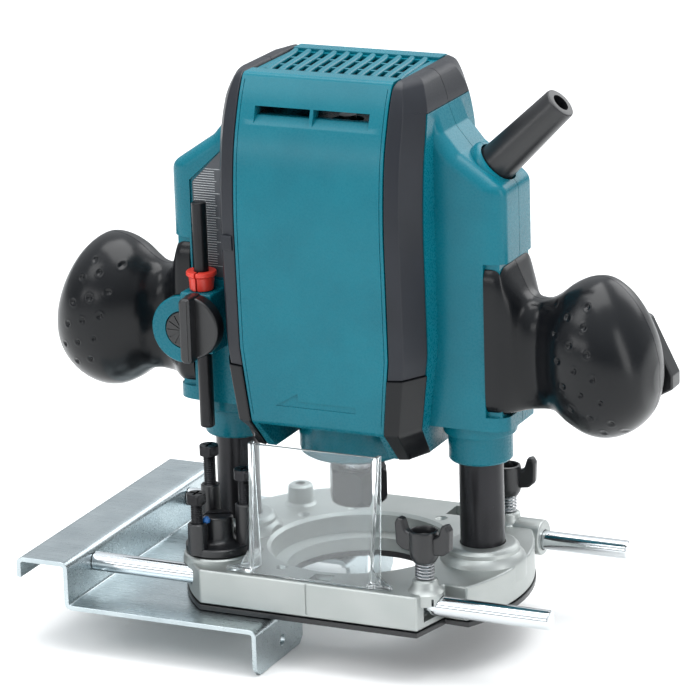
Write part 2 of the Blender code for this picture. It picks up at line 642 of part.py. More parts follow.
def build_housing():
    for y_sign, word in ((-1, "front"), (1, "rear")):
        body = trunk_body(f"housing_{word}")
        low, high = sorted((y_sign * GAP / 2, y_sign * 80))
        if y_sign < 0:
            join(body, box("pole_holder", (POLE_X - 7, POLE_Y - 6.6, HOLDER_LOW),
                           (POLE_X + 7, -CORE_HALF, HOLDER_HIGH)),
                 cylinder("round_boss", ROUND_BOSS, ROUND_BOSS_RADIUS, ROUND_BOSS_FRONT, -CORE_HALF + 0.5,
                          "y", 32))
            cut(body, cylinder("pole_bore", (POLE_X, POLE_Y), POLE_RADIUS + GAP, 90, 140, sides=24),
                cylinder("knob_bore", (POLE_X, KNOB_Z), 2.5 + GAP, -40, POLE_Y, "y", 20),
                prism("scale_pocket", scale_outline(GAP), "y", -30, -WING_HALF + 1.6),
                stop_relief("housing", 0), stop_relief("housing", 1))
        else:
            cut(body, cylinder("lever_bore", LEVER_PIVOT, 3 + GAP, 5, 40, "y", 20))
        keep(body, box(f"half_{word}", (-100, low, 40), (100, high, TOP + 13)))


def scale_outline(grow=0.0):
    """The printed scale's outline on the left wing, with its top corner cut to follow the wing."""
    return [(-45.4 + grow, HOLDER_HIGH + 4 - grow), (-63.0 - grow, HOLDER_HIGH + 4 - grow),
            (-63.0 - grow, 168.3 + grow * 0.5), (-45.4 + grow, 183.0 + grow)]


def build_strips():
    for x_sign, x_word in ((-1, "left"), (1, "right")):
        for y_sign, y_word in ((-1, "front"), (1, "rear")):
            name = f"corner_strip_{y_word}_{x_word}"
            sections = [strip_section(z) for z in levels(PAD_TOP + GAP, CAP_LOWER)]
            tongue = strip_section(CAP_LOWER + 2.5, -0.6)
            strip = loft(name, flip(sections + [tongue], x_sign, -y_sign), CHARCOAL, split=True)
            cap = loft(name + "_cap", flip([cap_section(z) for z in levels(CAP_LOWER, TOP)], x_sign, -y_sign),
                       split=True)
            x0, x1 = sorted((x_sign * (PANEL_HALF + GAP), x_sign * 38.0))
            y0, y1 = sorted((y_sign * GAP / 2, y_sign * 22.0))
            lid = box(name + "_lid", (x0, y0, TOP - 2.8), (x1, y1, TOP))
            join(strip, cap, lid)
            pad = loft(f"corner_pad_{y_word}_{x_word}",
                       flip([strip_section(z, PAD_PROUD) for z in levels(LEG_BOTTOM, PAD_TOP)],
                            x_sign, -y_sign), RUBBER)
            if (x_sign, y_sign) == (-1, -1):
                cut(pad, stop_relief("pad", 1))


def build_grille():
    depth = trunk_at(TOP)[0] - 8 - GAP
    grille = box("top_grille", (-PANEL_HALF, -depth, TOP - 3.0), (PANEL_HALF, depth, TOP), TEAL)
    for row, y in enumerate((-9.2, 9.2)):
        for number in range(11):
            x = -25 + number * 5.0
            outline = [(x - 3.6, y - 7.6), (x - 1.4, y - 7.6), (x + 3.6, y + 7.6), (x + 1.4, y + 7.6)]
            cut(grille, prism(f"louvre_{row}_{number}", outline, "z", TOP - 6, TOP + 3))


def grip_section(row, side, count=20):
    x, low, high, front, rear, square = row
    points = []
    for i in range(count):
        angle = 2 * math.pi * i / count
        c, s = math.cos(angle), math.sin(angle)
        power = 2.0 / square
        depth = (rear if c > 0 else front) * math.copysign(abs(c) ** power, c)
        height = (high + low) / 2 + (high - low) / 2 * math.copysign(abs(s) ** power, s)
        points.append((side * x, depth, height))
    return points


def build_grips():
    for side, x_word in ((-1, "left"), (1, "right")):
        for y_sign, y_word in ((-1, "front"), (1, "rear")):
            name = f"grip_{y_word}_{x_word}"
            grip = loft(name, [grip_section(row, side) for row in GRIP],
                        RUBBER if y_sign < 0 else BLACK, split=True)
            x0, x1 = sorted((side * 50, side * (CORE_END + GAP)))
            cut(grip, box(name + "_core", (x0, -CORE_HALF - GAP, 70), (x1, CORE_HALF + GAP, 160)))
            low, high = sorted((y_sign * GAP / 2, y_sign * 60))
            keep(grip, box(name + "_half", (-150, low, 60), (150, high, 160)))
            if y_sign < 0 and side < 0:
                cut(grip, cylinder("boss_room", ROUND_BOSS, ROUND_BOSS_RADIUS + GAP, -40, -13.2, "y", 30))
            if y_sign > 0 and side > 0:
                cut(grip, prism("trigger_pocket", trigger_outline(0.6), "y", 9, 40),
                    cylinder("button_pocket", (84.5, 112), 3.9, 5.5, 30, "y", 24))


def trigger_outline(grow=0.0):
    return [(106 - grow, 116 + grow), (115 - grow, 121 + grow), (120 + grow, 119 + grow), (131 + grow, 97),
            (131 + grow, 91.5 - grow), (124, 87.5 - grow), (112 - grow, 86 - grow), (106 - grow, 94)]


def build_controls():
    trigger = prism("switch_trigger", trigger_outline(), "y", 12.4, 21.6, BLACK)
    bevel(trigger, 0.8, 2, 50)
    set_origin(trigger, 113, 15, 119)
    turned("lock_on_button", ((0, 9.6), (2.8, 9.6), (3.5, 8.8), (3.5, 0), (0, 0)), (84.5, 7.8, 112), BLACK,
           axis=(0, 1, 0), sides=24)
    lever = prism("plunge_lock_lever",
                  [(-57, 115), (-62, 119), (-68, 117), (-84, 104), (-104, 86), (-108, 79), (-104, 76),
                   (-97, 80), (-78, 95), (-62, 105), (-57, 108)], "y", 21.5, 26.0, BLACK)
    bevel(lever, 0.9, 2, 50)
    join(lever, cylinder("lever_hub", LEVER_PIVOT, 7, WING_HALF + 0.8, 22.5, "y", 28),
         cylinder("lever_stem", LEVER_PIVOT, 3, COLUMN_RADIUS, 20, "y", 20))
    set_origin(lever, LEVER_PIVOT[0], WING_HALF, LEVER_PIVOT[1])


def build_depth_stop():
    turned("stopper_pole", ((0, POLE_HIGH), (POLE_RADIUS - 0.4, POLE_HIGH), (POLE_RADIUS, POLE_HIGH - 0.4),
                            (POLE_RADIUS, POLE_LOW + 0.4), (POLE_RADIUS - 0.4, POLE_LOW), (0, POLE_LOW)),
           (POLE_X, POLE_Y, 0), BLACK_STEEL, sides=24)
    inner = POLE_RADIUS + 0.1
    outer = inner + 2.2
    ring = [(POLE_X + x, POLE_Y + y) for x, y in
            arc(0, 0, outer, -80, 260, 24) + arc(0, 0, inner, 260, -80, 24)]
    clip = prism("depth_pointer", ring, "z", HOLDER_HIGH + GAP, HOLDER_HIGH + 8, RED)
    join(clip, prism("pointer_tip", [(POLE_X + 4.4, POLE_Y - 1.2), (POLE_X + 8.6, POLE_Y + 0.6),
                                     (POLE_X + 4.4, POLE_Y + 1.8)], "z", HOLDER_HIGH + 5, HOLDER_HIGH + 8))
    set_origin(clip, POLE_X, POLE_Y, HOLDER_HIGH)
    front = POLE_Y - 6.6 - GAP
    knob = cylinder("pole_clamp_knob", (POLE_X, KNOB_Z), KNOB_RADIUS, front - 6.5, front, "y", 32, BLACK)
    bevel(knob, 1.2, 1, 50)
    rib = prism("knob_rib", [(POLE_X - 3.2, KNOB_Z - 13.6), (POLE_X + 3.2, KNOB_Z - 13.6),
                             (POLE_X + 3.2, KNOB_Z + 13.6), (POLE_X - 3.2, KNOB_Z + 13.6)], "y",
                front - 11.5, front - 1)
    join(knob, bevel(rib, 1.2, 1, 50),
         cylinder("knob_stem", (POLE_X, KNOB_Z), 2.5, front - 1, POLE_Y - POLE_RADIUS - GAP, "y", 20))
    set_origin(knob, POLE_X, front, KNOB_Z)
    prism("depth_scale", scale_outline(), "y", -WING_HALF + 0.1, -WING_HALF + 1.3, SCALE)


def build_bushes():
    for side, word in ((-1, "left"), (1, "right")):
        turned(f"column_bush_{word}",
               ((COLUMN_RADIUS + 0.08, BUSH_TOP - 1), (BUSH_RADIUS, BUSH_TOP - 1),
                (BUSH_RADIUS, BOSS_BOTTOM + 2), (COLUMN_RADIUS + 0.08, BOSS_BOTTOM + 2)),
               (side * COLUMN_X, 0, 0), WHITE, sides=28)


def build_cord_guard():
    start = cord_frame(-7.5, 0)[0]
    direction = Vector(cord_frame(0, 1)[1]) - Vector(cord_frame(0, 1)[0])
    profile = ((3.7, 48), (6.6, 48), (6.9, 47.2), (8.3, 9), (8.3, 3.2), (10, 3.2), (10, 0), (3.7, 0))
    turned("cord_guard", profile, start, BLACK, axis=direction, sides=24)


# ---------------------------------------------------------------- motor and spindle

def build_motor():
    low, high, radius = STATOR
    stator = turned("stator_core", ((26.5, high), (radius, high), (radius, low), (26.5, low)), (0, 0, 0),
                    IRON, sides=36)
    for y_sign in (-1, 1):
        pole = prism(f"stator_pole_{y_sign}",
                     [(x, y_sign * y) for x, y in arc(0, 0, 19.5, 50, 130, 9) + arc(0, 0, 28.5, 130, 50, 9)],
                     "z", low, high)
        join(stator, pole)
    for side, word in ((-1, "left"), (1, "right")):
        ring = arc(0, 0, 25.8, -44, 44, 11) + arc(0, 0, 20.2, 44, -44, 11)
        prism(f"field_coil_{word}", [(side * x, y) for x, y in ring], "z", low - 4, high + 4, COPPER)
        inner, outer = sorted((side * 16.0, side * 30.0))
        holder = box(f"brush_holder_{word}", (inner, -5, 160), (outer, 5, 170), STEEL)
        cut(holder, box(f"brush_way_{word}", (-40, -3.6, 162), (40, 3.6, 168)))
        inner, outer = sorted((side * (COMMUTATOR[2] + GAP), side * 24.0))
        box(f"carbon_brush_{word}", (inner, -3.2, 162.4), (outer, 3.2, 167.6), CARBON)
    for word, (low, high, radius), bore in (("lower", LOWER_BEARING, SHAFT_RADIUS + GAP / 3),
                                            ("upper", UPPER_BEARING, 3.5 + GAP / 3)):
        turned(f"{word}_bearing", ((bore, high), (radius, high), (radius, low), (bore, low)), (0, 0, 0),
               STEEL, sides=24)


def build_spindle():
    low_b = LOWER_BEARING[0]
    shaft = turned("armature_shaft",
                   ((0, SHAFT_TOP), (3.5, SHAFT_TOP), (3.5, UPPER_BEARING[0] - 0.5),
                    (SHAFT_RADIUS, UPPER_BEARING[0] - 2), (SHAFT_RADIUS, low_b - 0.4),
                    (COLLAR_SHAFT_RADIUS, low_b - 1.0),
                    (COLLAR_SHAFT_RADIUS, NUT_HIGH + GAP), (BIT_RADIUS + 0.9, NUT_HIGH + GAP),
                    (BIT_RADIUS + 0.9, 44.6), (0, 44.6)), (0, 0, 0), STEEL, sides=24)
    cut(shaft, box("flat_left", (-12, -12, NUT_HIGH + 2), (-6.5, 12, NUT_HIGH + 7)),
        box("flat_right", (6.5, -12, NUT_HIGH + 2), (12, 12, NUT_HIGH + 7)))
    nut = prism("collet_nut", hexagon(0, 0, NUT_FLATS), "z", NUT_LOW, NUT_HIGH, BLACK_STEEL)
    keep(nut, turned("nut_chamfer", ((0, NUT_HIGH), (11.4, NUT_HIGH), (12.9, NUT_HIGH - 1.6),
                                     (12.9, NUT_LOW + 4), (10.2, NUT_LOW), (0, NUT_LOW)), (0, 0, 0),
                     sides=24))
    cut(nut, turned("nut_bore", ((0, NUT_HIGH + 1), (7.0, NUT_HIGH + 1), (7.0, 36), (5.2, 33), (5.2, 20),
                                 (0, 20)), (0, 0, 0), sides=24))
    cone = turned("collet_cone", ((BIT_RADIUS, 44.2), (5.4, 44.2), (6.7, 41.5), (6.7, 36.3), (4.9, 32.8),
                                  (4.9, NUT_LOW - 1.0), (BIT_RADIUS, NUT_LOW - 1.0)), (0, 0, 0), STEEL,
                  sides=24)
    cut(cone, box("cone_slot", (-0.4, 0, 20), (0.4, 10, 60)))
    low, high, radius = CORE
    bore = SHAFT_RADIUS + 0.05
    turned("armature_core", ((bore, high), (radius, high), (radius, low), (bore, low)), (0, 0, 0), IRON,
           sides=28)
    low, high, radius = COMMUTATOR
    turned("commutator", ((bore, high), (radius, high), (radius, low), (bore, low)), (0, 0, 0), COPPER,
           sides=24)
    low, high, radius = FAN
    fan = turned("cooling_fan", ((bore, high), (8.5, high), (9.5, low + 2), (radius, low + 2), (radius, low),
                                 (bore, low)), (0, 0, 0), WHITE, sides=24)
    for number in range(9):
        blade = box(f"fan_blade_{number}", (8, -0.7, low + 1), (radius - 1, 0.7, high - 1.5))
        blade.rotation_euler = (0, 0, 2 * math.pi * number / 9)
        join(fan, blade)


# ---------------------------------------------------------------- assembly

for old in list(bpy.data.objects):
    bpy.data.objects.remove(old)
PARTS = bpy.data.collections.new("plunge_router")
CUTTERS = bpy.data.collections.new("cutters")
for group in (PARTS, CUTTERS):
    bpy.context.scene.collection.children.link(group)
for build in (build_base, build_columns, build_rod_clamps, build_turret, build_guide, build_shield,
              build_housing, build_strips, build_grille, build_grips, build_controls, build_depth_stop,
              build_bushes, build_cord_guard, build_motor, build_spindle):
    build()
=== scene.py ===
"""Looks of a compact plunge router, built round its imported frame.

Helpers take millimetres: X along the grips, Y from front to back, Z above the sole.
"""

import math

import bmesh
import bpy
import numpy as np
from mathutils import Matrix, Vector


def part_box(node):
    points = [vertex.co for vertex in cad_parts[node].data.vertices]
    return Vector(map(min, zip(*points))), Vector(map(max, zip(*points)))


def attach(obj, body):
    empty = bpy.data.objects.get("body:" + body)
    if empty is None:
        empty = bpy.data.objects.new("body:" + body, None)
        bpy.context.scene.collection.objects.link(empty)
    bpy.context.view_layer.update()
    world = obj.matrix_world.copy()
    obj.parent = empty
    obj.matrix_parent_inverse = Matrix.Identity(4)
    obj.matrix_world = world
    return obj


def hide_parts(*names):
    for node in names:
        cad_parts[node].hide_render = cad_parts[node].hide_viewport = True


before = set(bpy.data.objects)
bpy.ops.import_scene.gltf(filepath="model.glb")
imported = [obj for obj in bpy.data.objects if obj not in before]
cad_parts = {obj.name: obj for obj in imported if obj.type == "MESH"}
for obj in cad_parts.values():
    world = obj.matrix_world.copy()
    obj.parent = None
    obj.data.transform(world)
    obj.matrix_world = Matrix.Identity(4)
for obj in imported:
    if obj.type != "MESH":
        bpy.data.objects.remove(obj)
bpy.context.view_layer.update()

MM = 0.001
GAP = 0.3
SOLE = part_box("sub_base")[0].z


def low(node, axis):
    """A node's lowest coordinate along an axis, in millimetres above the sole."""
    return (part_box(node)[0][axis] - (SOLE if axis == 2 else 0)) / MM


def high(node, axis):
    return (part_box(node)[1][axis] - (SOLE if axis == 2 else 0)) / MM


# Sizes read from the frame
TOP = high("top_grille", 2)
COLUMN_X = (low("column_right", 0) + high("column_right", 0)) / 2
COLUMN_RADIUS = (high("column_right", 0) - low("column_right", 0)) / 2
ROD_Y = (low("guide_rod_rear", 1) + high("guide_rod_rear", 1)) / 2
ROD_RADIUS = (high("guide_rod_rear", 1) - low("guide_rod_rear", 1)) / 2
ROD_Z = (low("guide_rod_rear", 2) + high("guide_rod_rear", 2)) / 2
POLE_X = (low("stopper_pole", 0) + high("stopper_pole", 0)) / 2
POLE_Y = (low("stopper_pole", 1) + high("stopper_pole", 1)) / 2
TURRET_X = (low("turret", 0) + high("turret", 0)) / 2
TURRET_Y = (low("turret", 1) + high("turret", 1)) / 2
CLAMP_X = (low("clamp_spring_rear", 0) + high("clamp_spring_rear", 0)) / 2

# Base
BASE_TOP = 17.0
SOLE_RADIUS = 71.0
SOLE_THICK = 2.2
OPENING_RADIUS = 36.5
OPENING_LOWER = 30.0
COLLAR_TOP = 23.7

# Wing bolts: their springs, ears and driver slots
CLAMP_SPRING_FOOT = 22.4
CLAMP_SPRING_HEAD = 28.4
CLAMP_SPRING_RADIUS = 3.5
CLAMP_SPRING_WIRE = 0.42
CLAMP_SPRING_TURNS = 4.5
EAR_HALF = 2.2
EAR_ROUND = 1.1
EAR_TURN = 8          # degrees off the guide rod's line at rest
SLOT_HALF = 0.6
SLOT_REACH = 3.0
SLOT_FLOOR = 37.4

# Studio and camera, in degrees, millimetres and metres
FLOOR_HALF = 6000
FLOOR_THICK = 30
FLOOR_CLEARANCE = 0.0002
LAMP_AIM = (0, 0, 0.12)
CAMERA_TURN, CAMERA_LIFT, CAMERA_ROLL = 25.04, 16.84, 1.76
CAMERA_AIM = (-2.15, 0, 98.36)
CAMERA_AWAY = 1.5872
CAMERA_LENS = 202.84
CAMERA_SENSOR = 36.0

# Motor casing. TRUNK holds (height, half depth, half width)
PANEL_HALF = 32.0
CORNER_X = 38.0
SIDE_X = 44.0
STRIP_THICK = 2.4
CAP_LOWER = 204.0
PAD_TOP = 100.0
UNDERSIDE = 76.0
LEG_BOTTOM = 63.0
TRUNK = (
    (LEG_BOTTOM, 23.9, 41.1), (77.0, 37.5, SIDE_X), (98.0, 38.7, SIDE_X), (141.0, 40.0, SIDE_X),
    (160.0, 40.4, SIDE_X), (175.0, 39.6, SIDE_X), (187.0, 38.1, SIDE_X), (195.0, 36.2, SIDE_X),
    (205.0, 32.9, 43.3), (211.0, 30.4, 41.6), (TOP, 26.9, 39.0),
)
WING_HALF = 17.0
WING_END = 72.4
CORE_HALF = 15.0
CORE_END = 70.0
ROOT_START = 64.0
HOLDER = (100.0, 125.0)
KNOB_Z = 112.5
ROUND_BOSS = (-66.9, 106.3)
BOSS_FRONT = -20.5
CORD_AT = (61.5, 0.0, 179.0)
CORD_ANGLE = math.radians(44.0)

# Stops on the turret: word, angle, top of the barrel, top of the head
STOPS = (("tall", 130.0, 43.5, 60.0), ("middle", 10.0, 39.4, 54.0), ("short", 250.0, 33.4, 46.0))
STOP_CIRCLE = 11.5

# Straight guide
SHEET = 2.0
GUIDE_HALF = 67.0
WALL_X = -101.0
FENCE_X = -17.0

# Grips: (distance from the axis, lowest, highest, front depth, rear depth, squareness)
GRIP = (
    (ROOT_START, 82.0, 144.0, 17.6, 17.6, 7.0), (70.0, 82.0, 143.0, 17.4, 17.4, 6.5),
    (73.0, 82.3, 137.0, 15.8, 15.8, 5.0), (77.0, 82.8, 129.5, 12.6, 12.6, 3.4),
    (82.0, 83.2, 127.8, 11.6, 11.6, 2.8), (86.0, 83.4, 128.6, 13.6, 12.6, 2.5),
    (90.0, 82.6, 131.0, 17.8, 15.2, 2.3), (96.0, 78.6, 135.6, 22.2, 18.0, 2.2),
    (103.0, 75.2, 138.6, 24.8, 19.4, 2.15), (110.0, 74.4, 138.6, 25.4, 19.6, 2.1),
    (117.0, 76.4, 134.0, 24.0, 18.4, 2.1), (123.0, 80.4, 126.4, 20.4, 15.6, 2.1),
    (127.5, 86.0, 117.0, 15.2, 11.6, 2.1), (130.4, 93.0, 107.5, 8.0, 6.0, 2.0),
)
DIMPLE_RADIUS = 1.5
DIMPLE_DEPTH = 0.75


# ---------------------------------------------------------------- making meshes

def at(x, y, z):
    return Vector((x * MM, y * MM, SOLE + z * MM))


def put(name, data):
    made = bpy.data.objects.new(name, data)
    bpy.context.scene.collection.objects.link(made)
    return made


def skin(name, bm):
    bmesh.ops.recalc_face_normals(bm, faces=bm.faces)
    data = bpy.data.meshes.new(name)
    bm.to_mesh(data)
    bm.free()
    return put(name, data)


def bake(made):
    """Applies the modifiers, or turns a curve or text into a mesh, and keeps the object."""
    graph = bpy.context.evaluated_depsgraph_get()
    mesh = bpy.data.meshes.new_from_object(made.evaluated_get(graph))
    if made.type == "MESH":
        made.modifiers.clear()
        made.data = mesh
        return made
    name, place = made.name, made.matrix_world.copy()
    bpy.data.objects.remove(made)
    mesh.transform(place)
    return put(name, mesh)


def block(name, corner, other):
    bm = bmesh.new()
    bmesh.ops.create_cube(bm, size=1.0)
    middle, size = (at(*corner) + at(*other)) / 2, at(*other) - at(*corner)
    for vert in bm.verts:
        vert.co = Vector(v * s for v, s in zip(vert.co, size)) + middle
    return skin(name, bm)


def sweep(name, outline, axis, start, end):
    """A closed outline swept along x, y or z; its points are in the other two axes' order."""
    def place(a, b, along):
        return {"x": (along, a, b), "y": (a, along, b), "z": (a, b, along)}[axis]
    bm = bmesh.new()
    first = [bm.verts.new(at(*place(a, b, start))) for a, b in outline]
    last = [bm.verts.new(at(*place(a, b, end))) for a, b in outline]
    for i in range(len(outline)):
        j = (i + 1) % len(outline)
        bm.faces.new((first[i], first[j], last[j], last[i]))
    bm.faces.new(first)
    bm.faces.new(last)
    return skin(name, bm)


def circle(cx, cy, radius, start=0.0, end=360.0, count=64):
    whole = end - start >= 360
    steps = count if whole else count - 1
    turns = (math.radians(start + (end - start) * i / steps) for i in range(count))
    return [(cx + radius * math.cos(t), cy + radius * math.sin(t)) for t in turns]


def rounded(points, radius, steps=5, closed=True):
    """Rounds the corners of an outline; radius is one number or one for each corner."""
    made = []
    count = len(points)
    for i, point in enumerate(points):
        reach = radius[i] if isinstance(radius, (list, tuple)) else radius
        if reach <= 0 or (not closed and i in (0, count - 1)):
            made.append(tuple(point))
            continue
        here = Vector(point)
        before = Vector(points[i - 1]) - here
        after = Vector(points[(i + 1) % count]) - here
        half = before.angle(after) / 2
        step = min(reach / math.tan(half), before.length * 0.49, after.length * 0.49)
        start, end = here + before.normalized() * step, here + after.normalized() * step
        for k in range(steps + 1):
            t = k / steps
            made.append(tuple(start * (1 - t) ** 2 + here * 2 * t * (1 - t) + end * t * t))
    return made


def turned(name, profile, base, axis=(0, 0, 1), sides=64):
    """A profile of (radius, height), from the top down the outside, turned about an axis."""
    turn = Vector((0, 0, 1)).rotation_difference(Vector(axis)).to_matrix()
    start = at(*base)
    bm = bmesh.new()
    rings = []
    for radius, height in profile:
        count = sides if radius > 1e-6 else 1
        rings.append([bm.verts.new(start + MM * (turn @ Vector((
            radius * math.cos(2 * math.pi * i / sides), radius * math.sin(2 * math.pi * i / sides), height))))
            for i in range(count)])
    pairs = list(zip(rings, rings[1:]))
    if profile[0][0] > 1e-6:
        pairs.append((rings[-1], rings[0]))
    for upper, lower in pairs:
        for i in range(sides):
            corners = [upper[i % len(upper)], lower[i % len(lower)],
                       lower[(i + 1) % sides % len(lower)], upper[(i + 1) % sides % len(upper)]]
            corners = list(dict.fromkeys(corners))
            if len(corners) > 2:
                bm.faces.new(corners)
    return skin(name, bm)


def loft(name, sections):
    bm = bmesh.new()
    rings = [[bm.verts.new(at(*point)) for point in section] for section in sections]
    count = len(sections[0])
    sides = []
    for lower, upper in zip(rings, rings[1:]):
        for i in range(count):
            j = (i + 1) % count
            sides.append(bm.faces.new((lower[i], lower[j], upper[j], upper[i])))
    bmesh.ops.connect_verts_nonplanar(bm, angle_limit=math.radians(0.05), faces=sides)
    bm.faces.new(rings[0])
    bm.faces.new(rings[-1])
    return skin(name, bm)


def rod(name, centre, radius, start, end, axis="z", count=64):
    return sweep(name, circle(*centre, radius, count=count), axis, start, end)


def combine(target, how, others):
    for other in others:
        step = target.modifiers.new(how, "BOOLEAN")
        step.operation = how
        step.solver = "MANIFOLD"
        step.object = other
    bake(target)
    for other in others:
        bpy.data.objects.remove(other)
    return target


def cut(target, *others):
    return combine(target, "DIFFERENCE", others)


def join(target, *others):
    return combine(target, "UNION", others)


def keep(target, *others):
    return combine(target, "INTERSECT", others)


def soften(target, width, segments=3, angle=30.0):
    """Rounds the edges that are sharper than an angle."""
    step = target.modifiers.new("Soften", "BEVEL")
    step.width = width * MM
    step.segments = segments
    step.limit_method = "ANGLE"
    step.angle_limit = math.radians(angle)
    step.use_clamp_overlap = False
    return bake(target)


def clean(target, reach=0.02):
    bm = bmesh.new()
    bm.from_mesh(target.data)
    bmesh.ops.remove_doubles(bm, verts=bm.verts, dist=reach * MM)
    bmesh.ops.dissolve_limit(bm, angle_limit=math.radians(0.02), verts=bm.verts, edges=bm.edges)
    bm.to_mesh(target.data)
    bm.free()
    return target


def copy_of(target, name):
    return put(name, target.data.copy())


def settle(made, finish, body, stands_for=(), smooth=38.0, weigh=True):
    """Gives a finished mesh its shading, its finish and the body that it rides on."""
    made.data.shade_smooth()
    made.data.set_sharp_from_angle(angle=math.radians(smooth))
    if weigh:
        step = made.modifiers.new("Weigh", "WEIGHTED_NORMAL")
        step.keep_sharp = True
        step.weight = 90
        bake(made)
    made.data.materials.clear()
    made.data.materials.append(finish)
    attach(made, body)
    if stands_for:
        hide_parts(*stands_for)
    return made


def between(rows, value):
    """A smooth row between the rows of a table, by its first column."""
    table = np.array(rows, float)
    i = int(np.clip(np.searchsorted(table[:, 0], value) - 1, 0, len(table) - 2))
    p0, p1, p2, p3 = (table[min(max(k, 0), len(table) - 1)] for k in (i - 1, i, i + 1, i + 2))
    t = (value - p1[0]) / (p2[0] - p1[0])
    m1 = (p2 - p0) / max(p2[0] - p0[0], 1e-9) * (p2[0] - p1[0])
    m2 = (p3 - p1) / max(p3[0] - p1[0], 1e-9) * (p2[0] - p1[0])
    return ((2 * t**3 - 3 * t**2 + 1) * p1 + (t**3 - 2 * t**2 + t) * m1
            + (-2 * t**3 + 3 * t**2) * p2 + (t**3 - t**2) * m2)


# ---------------------------------------------------------------- finishes

def colour(code):
    parts = [int(code[i:i + 2], 16) / 255 for i in (1, 3, 5)]
    return tuple(c / 12.92 if c <= 0.04045 else ((c + 0.055) / 1.055) ** 2.4 for c in parts) + (1.0,)


def add(tree, kind, settings=None, links=None):
    """Adds a node; a setting is an input by name or number, or one of the node's properties."""
    made = tree.nodes.new(kind)
    for key, value in (settings or {}).items():
        if isinstance(key, int) or key in made.inputs:
            made.inputs[key].default_value = value
        else:
            setattr(made, key, value)
    for key, source in (links or {}).items():
        tree.links.new(source, made.inputs[key])
    return made


def finish(name, tone, roughness, metallic=0.0, grain=0.6, relief=0.02, spread=0.05, second=None,
           stretch=(1, 1, 1), patch=25.0, shader=None):
    """A surface with a fine grain, uneven gloss and a slow change of colour.

    grain is the size of the fine texture, relief its height and patch the size of the slow change,
    all in millimetres; stretch draws the grain out along an axis, as grinding or rolling does.
    """
    made = bpy.data.materials.new(name)
    made.use_nodes = True
    tree = made.node_tree
    tree.nodes.clear()
    place = add(tree, "ShaderNodeTexCoord")
    drawn = add(tree, "ShaderNodeMapping", {"Scale": stretch}, {"Vector": place.outputs["Object"]})
    fine = add(tree, "ShaderNodeTexNoise", {"Scale": 1 / (grain * MM), "Detail": 3.0, "Roughness": 0.6},
               {"Vector": drawn.outputs["Vector"]})
    slow = add(tree, "ShaderNodeTexNoise", {"Scale": 1 / (patch * MM), "Detail": 2.0},
               {"Vector": place.outputs["Object"]})
    gloss = add(tree, "ShaderNodeMapRange",
                {"From Min": 0.3, "From Max": 0.7, "To Min": roughness - spread,
                 "To Max": roughness + spread},
                {"Value": fine.outputs["Fac"]})
    ramp = add(tree, "ShaderNodeValToRGB", None, {"Fac": slow.outputs["Fac"]})
    ramp.color_ramp.elements[0].position = 0.35
    ramp.color_ramp.elements[0].color = colour(tone)
    ramp.color_ramp.elements[1].position = 0.65
    ramp.color_ramp.elements[1].color = colour(second or tone)
    bump = add(tree, "ShaderNodeBump", {"Strength": 1.0, "Distance": relief * MM},
               {"Height": fine.outputs["Fac"]})
    surface = add(tree, "ShaderNodeBsdfPrincipled", {"Metallic": metallic, **(shader or {})},
                  {"Base Color": ramp.outputs["Color"], "Roughness": gloss.outputs["Result"],
                   "Normal": bump.outputs["Normal"]})
    add(tree, "ShaderNodeOutputMaterial", None, {"Surface": surface.outputs["BSDF"]})
    return made


# ABS injected into a lightly textured steel mould: a soft, even sheen with a faint orange peel
TEAL = finish("moulded_teal_abs", "#035f6e", 0.28, grain=0.9, relief=0.004, second="#046574",
              shader={"Specular IOR Level": 0.24})
# Thermoplastic elastomer moulded over the ABS: dry, grey and slightly dusty
CHARCOAL = finish("overmoulded_charcoal_elastomer", "#181b21", 0.42, grain=0.7, relief=0.01, second="#1c1f26",
                  shader={"Specular IOR Level": 0.32})
# Smooth moulded rubber: dark with a broad, wet-looking highlight
RUBBER = finish("moulded_black_rubber", "#0a0c0f", 0.24, grain=1.2, relief=0.004, spread=0.03,
                second="#0d0f12",
                shader={"Specular IOR Level": 0.26})
# Glass-filled nylon: dark with a fine sparkle in the gloss
NYLON = finish("moulded_black_nylon", "#101113", 0.34, grain=0.5, relief=0.012, second="#141518",
               shader={"IOR": 1.53})
# Die-cast aluminium, bead blasted: matt and silvery with a sandy grain
CAST = finish("blasted_cast_aluminium", "#a9adab", 0.42, metallic=0.8, grain=0.5, relief=0.03, spread=0.06,
              second="#a0a5a3")
# Cold-rolled sheet with bright zinc plate: cool, cloudy reflections and faint rolling lines
ZINC = finish("zinc_plated_sheet", "#b9c3c6", 0.3, metallic=1.0, grain=0.8, relief=0.004, spread=0.07,
              second="#aab5b9", stretch=(0.06, 1, 1), patch=18.0)
# Ground bar with hard chrome: sharp reflections, faint rings from the wheel
CHROME = finish("chromed_ground_bar", "#d3d7d9", 0.13, metallic=1.0, grain=0.5, relief=0.002, spread=0.03,
                second="#c9ced1", stretch=(1, 0.1, 0.1))
# Turned steel: faint rings left by the cutting edge
STEEL = finish("turned_bright_steel", "#a8a9ab", 0.3, metallic=1.0, grain=0.6, relief=0.004, second="#9b9c9f",
               stretch=(0.2, 0.2, 1))
# Black-oxide steel: almost black, oily, with a soft metallic edge
OXIDE = finish("black_oxide_steel", "#1c1c1e", 0.32, metallic=0.6, grain=0.7, relief=0.005, second="#232326")
# Acetal moulded in red: slightly waxy, with a soft sheen
RED = finish("moulded_red_acetal", "#d23a2c", 0.36, grain=0.8, relief=0.005, second="#c93527")
# Aluminium label, screen printed dark grey and clear coated: flat and nearly matt
PLATE = finish("printed_grey_plate", "#3a3d42", 0.45, grain=0.5, relief=0.006, second="#3f4247")
# White ink screen printed on the label: matt, a little thin
INK = finish("printed_white_ink", "#cfd3d4", 0.5, grain=0.4, relief=0.004, second="#c4c8c9")
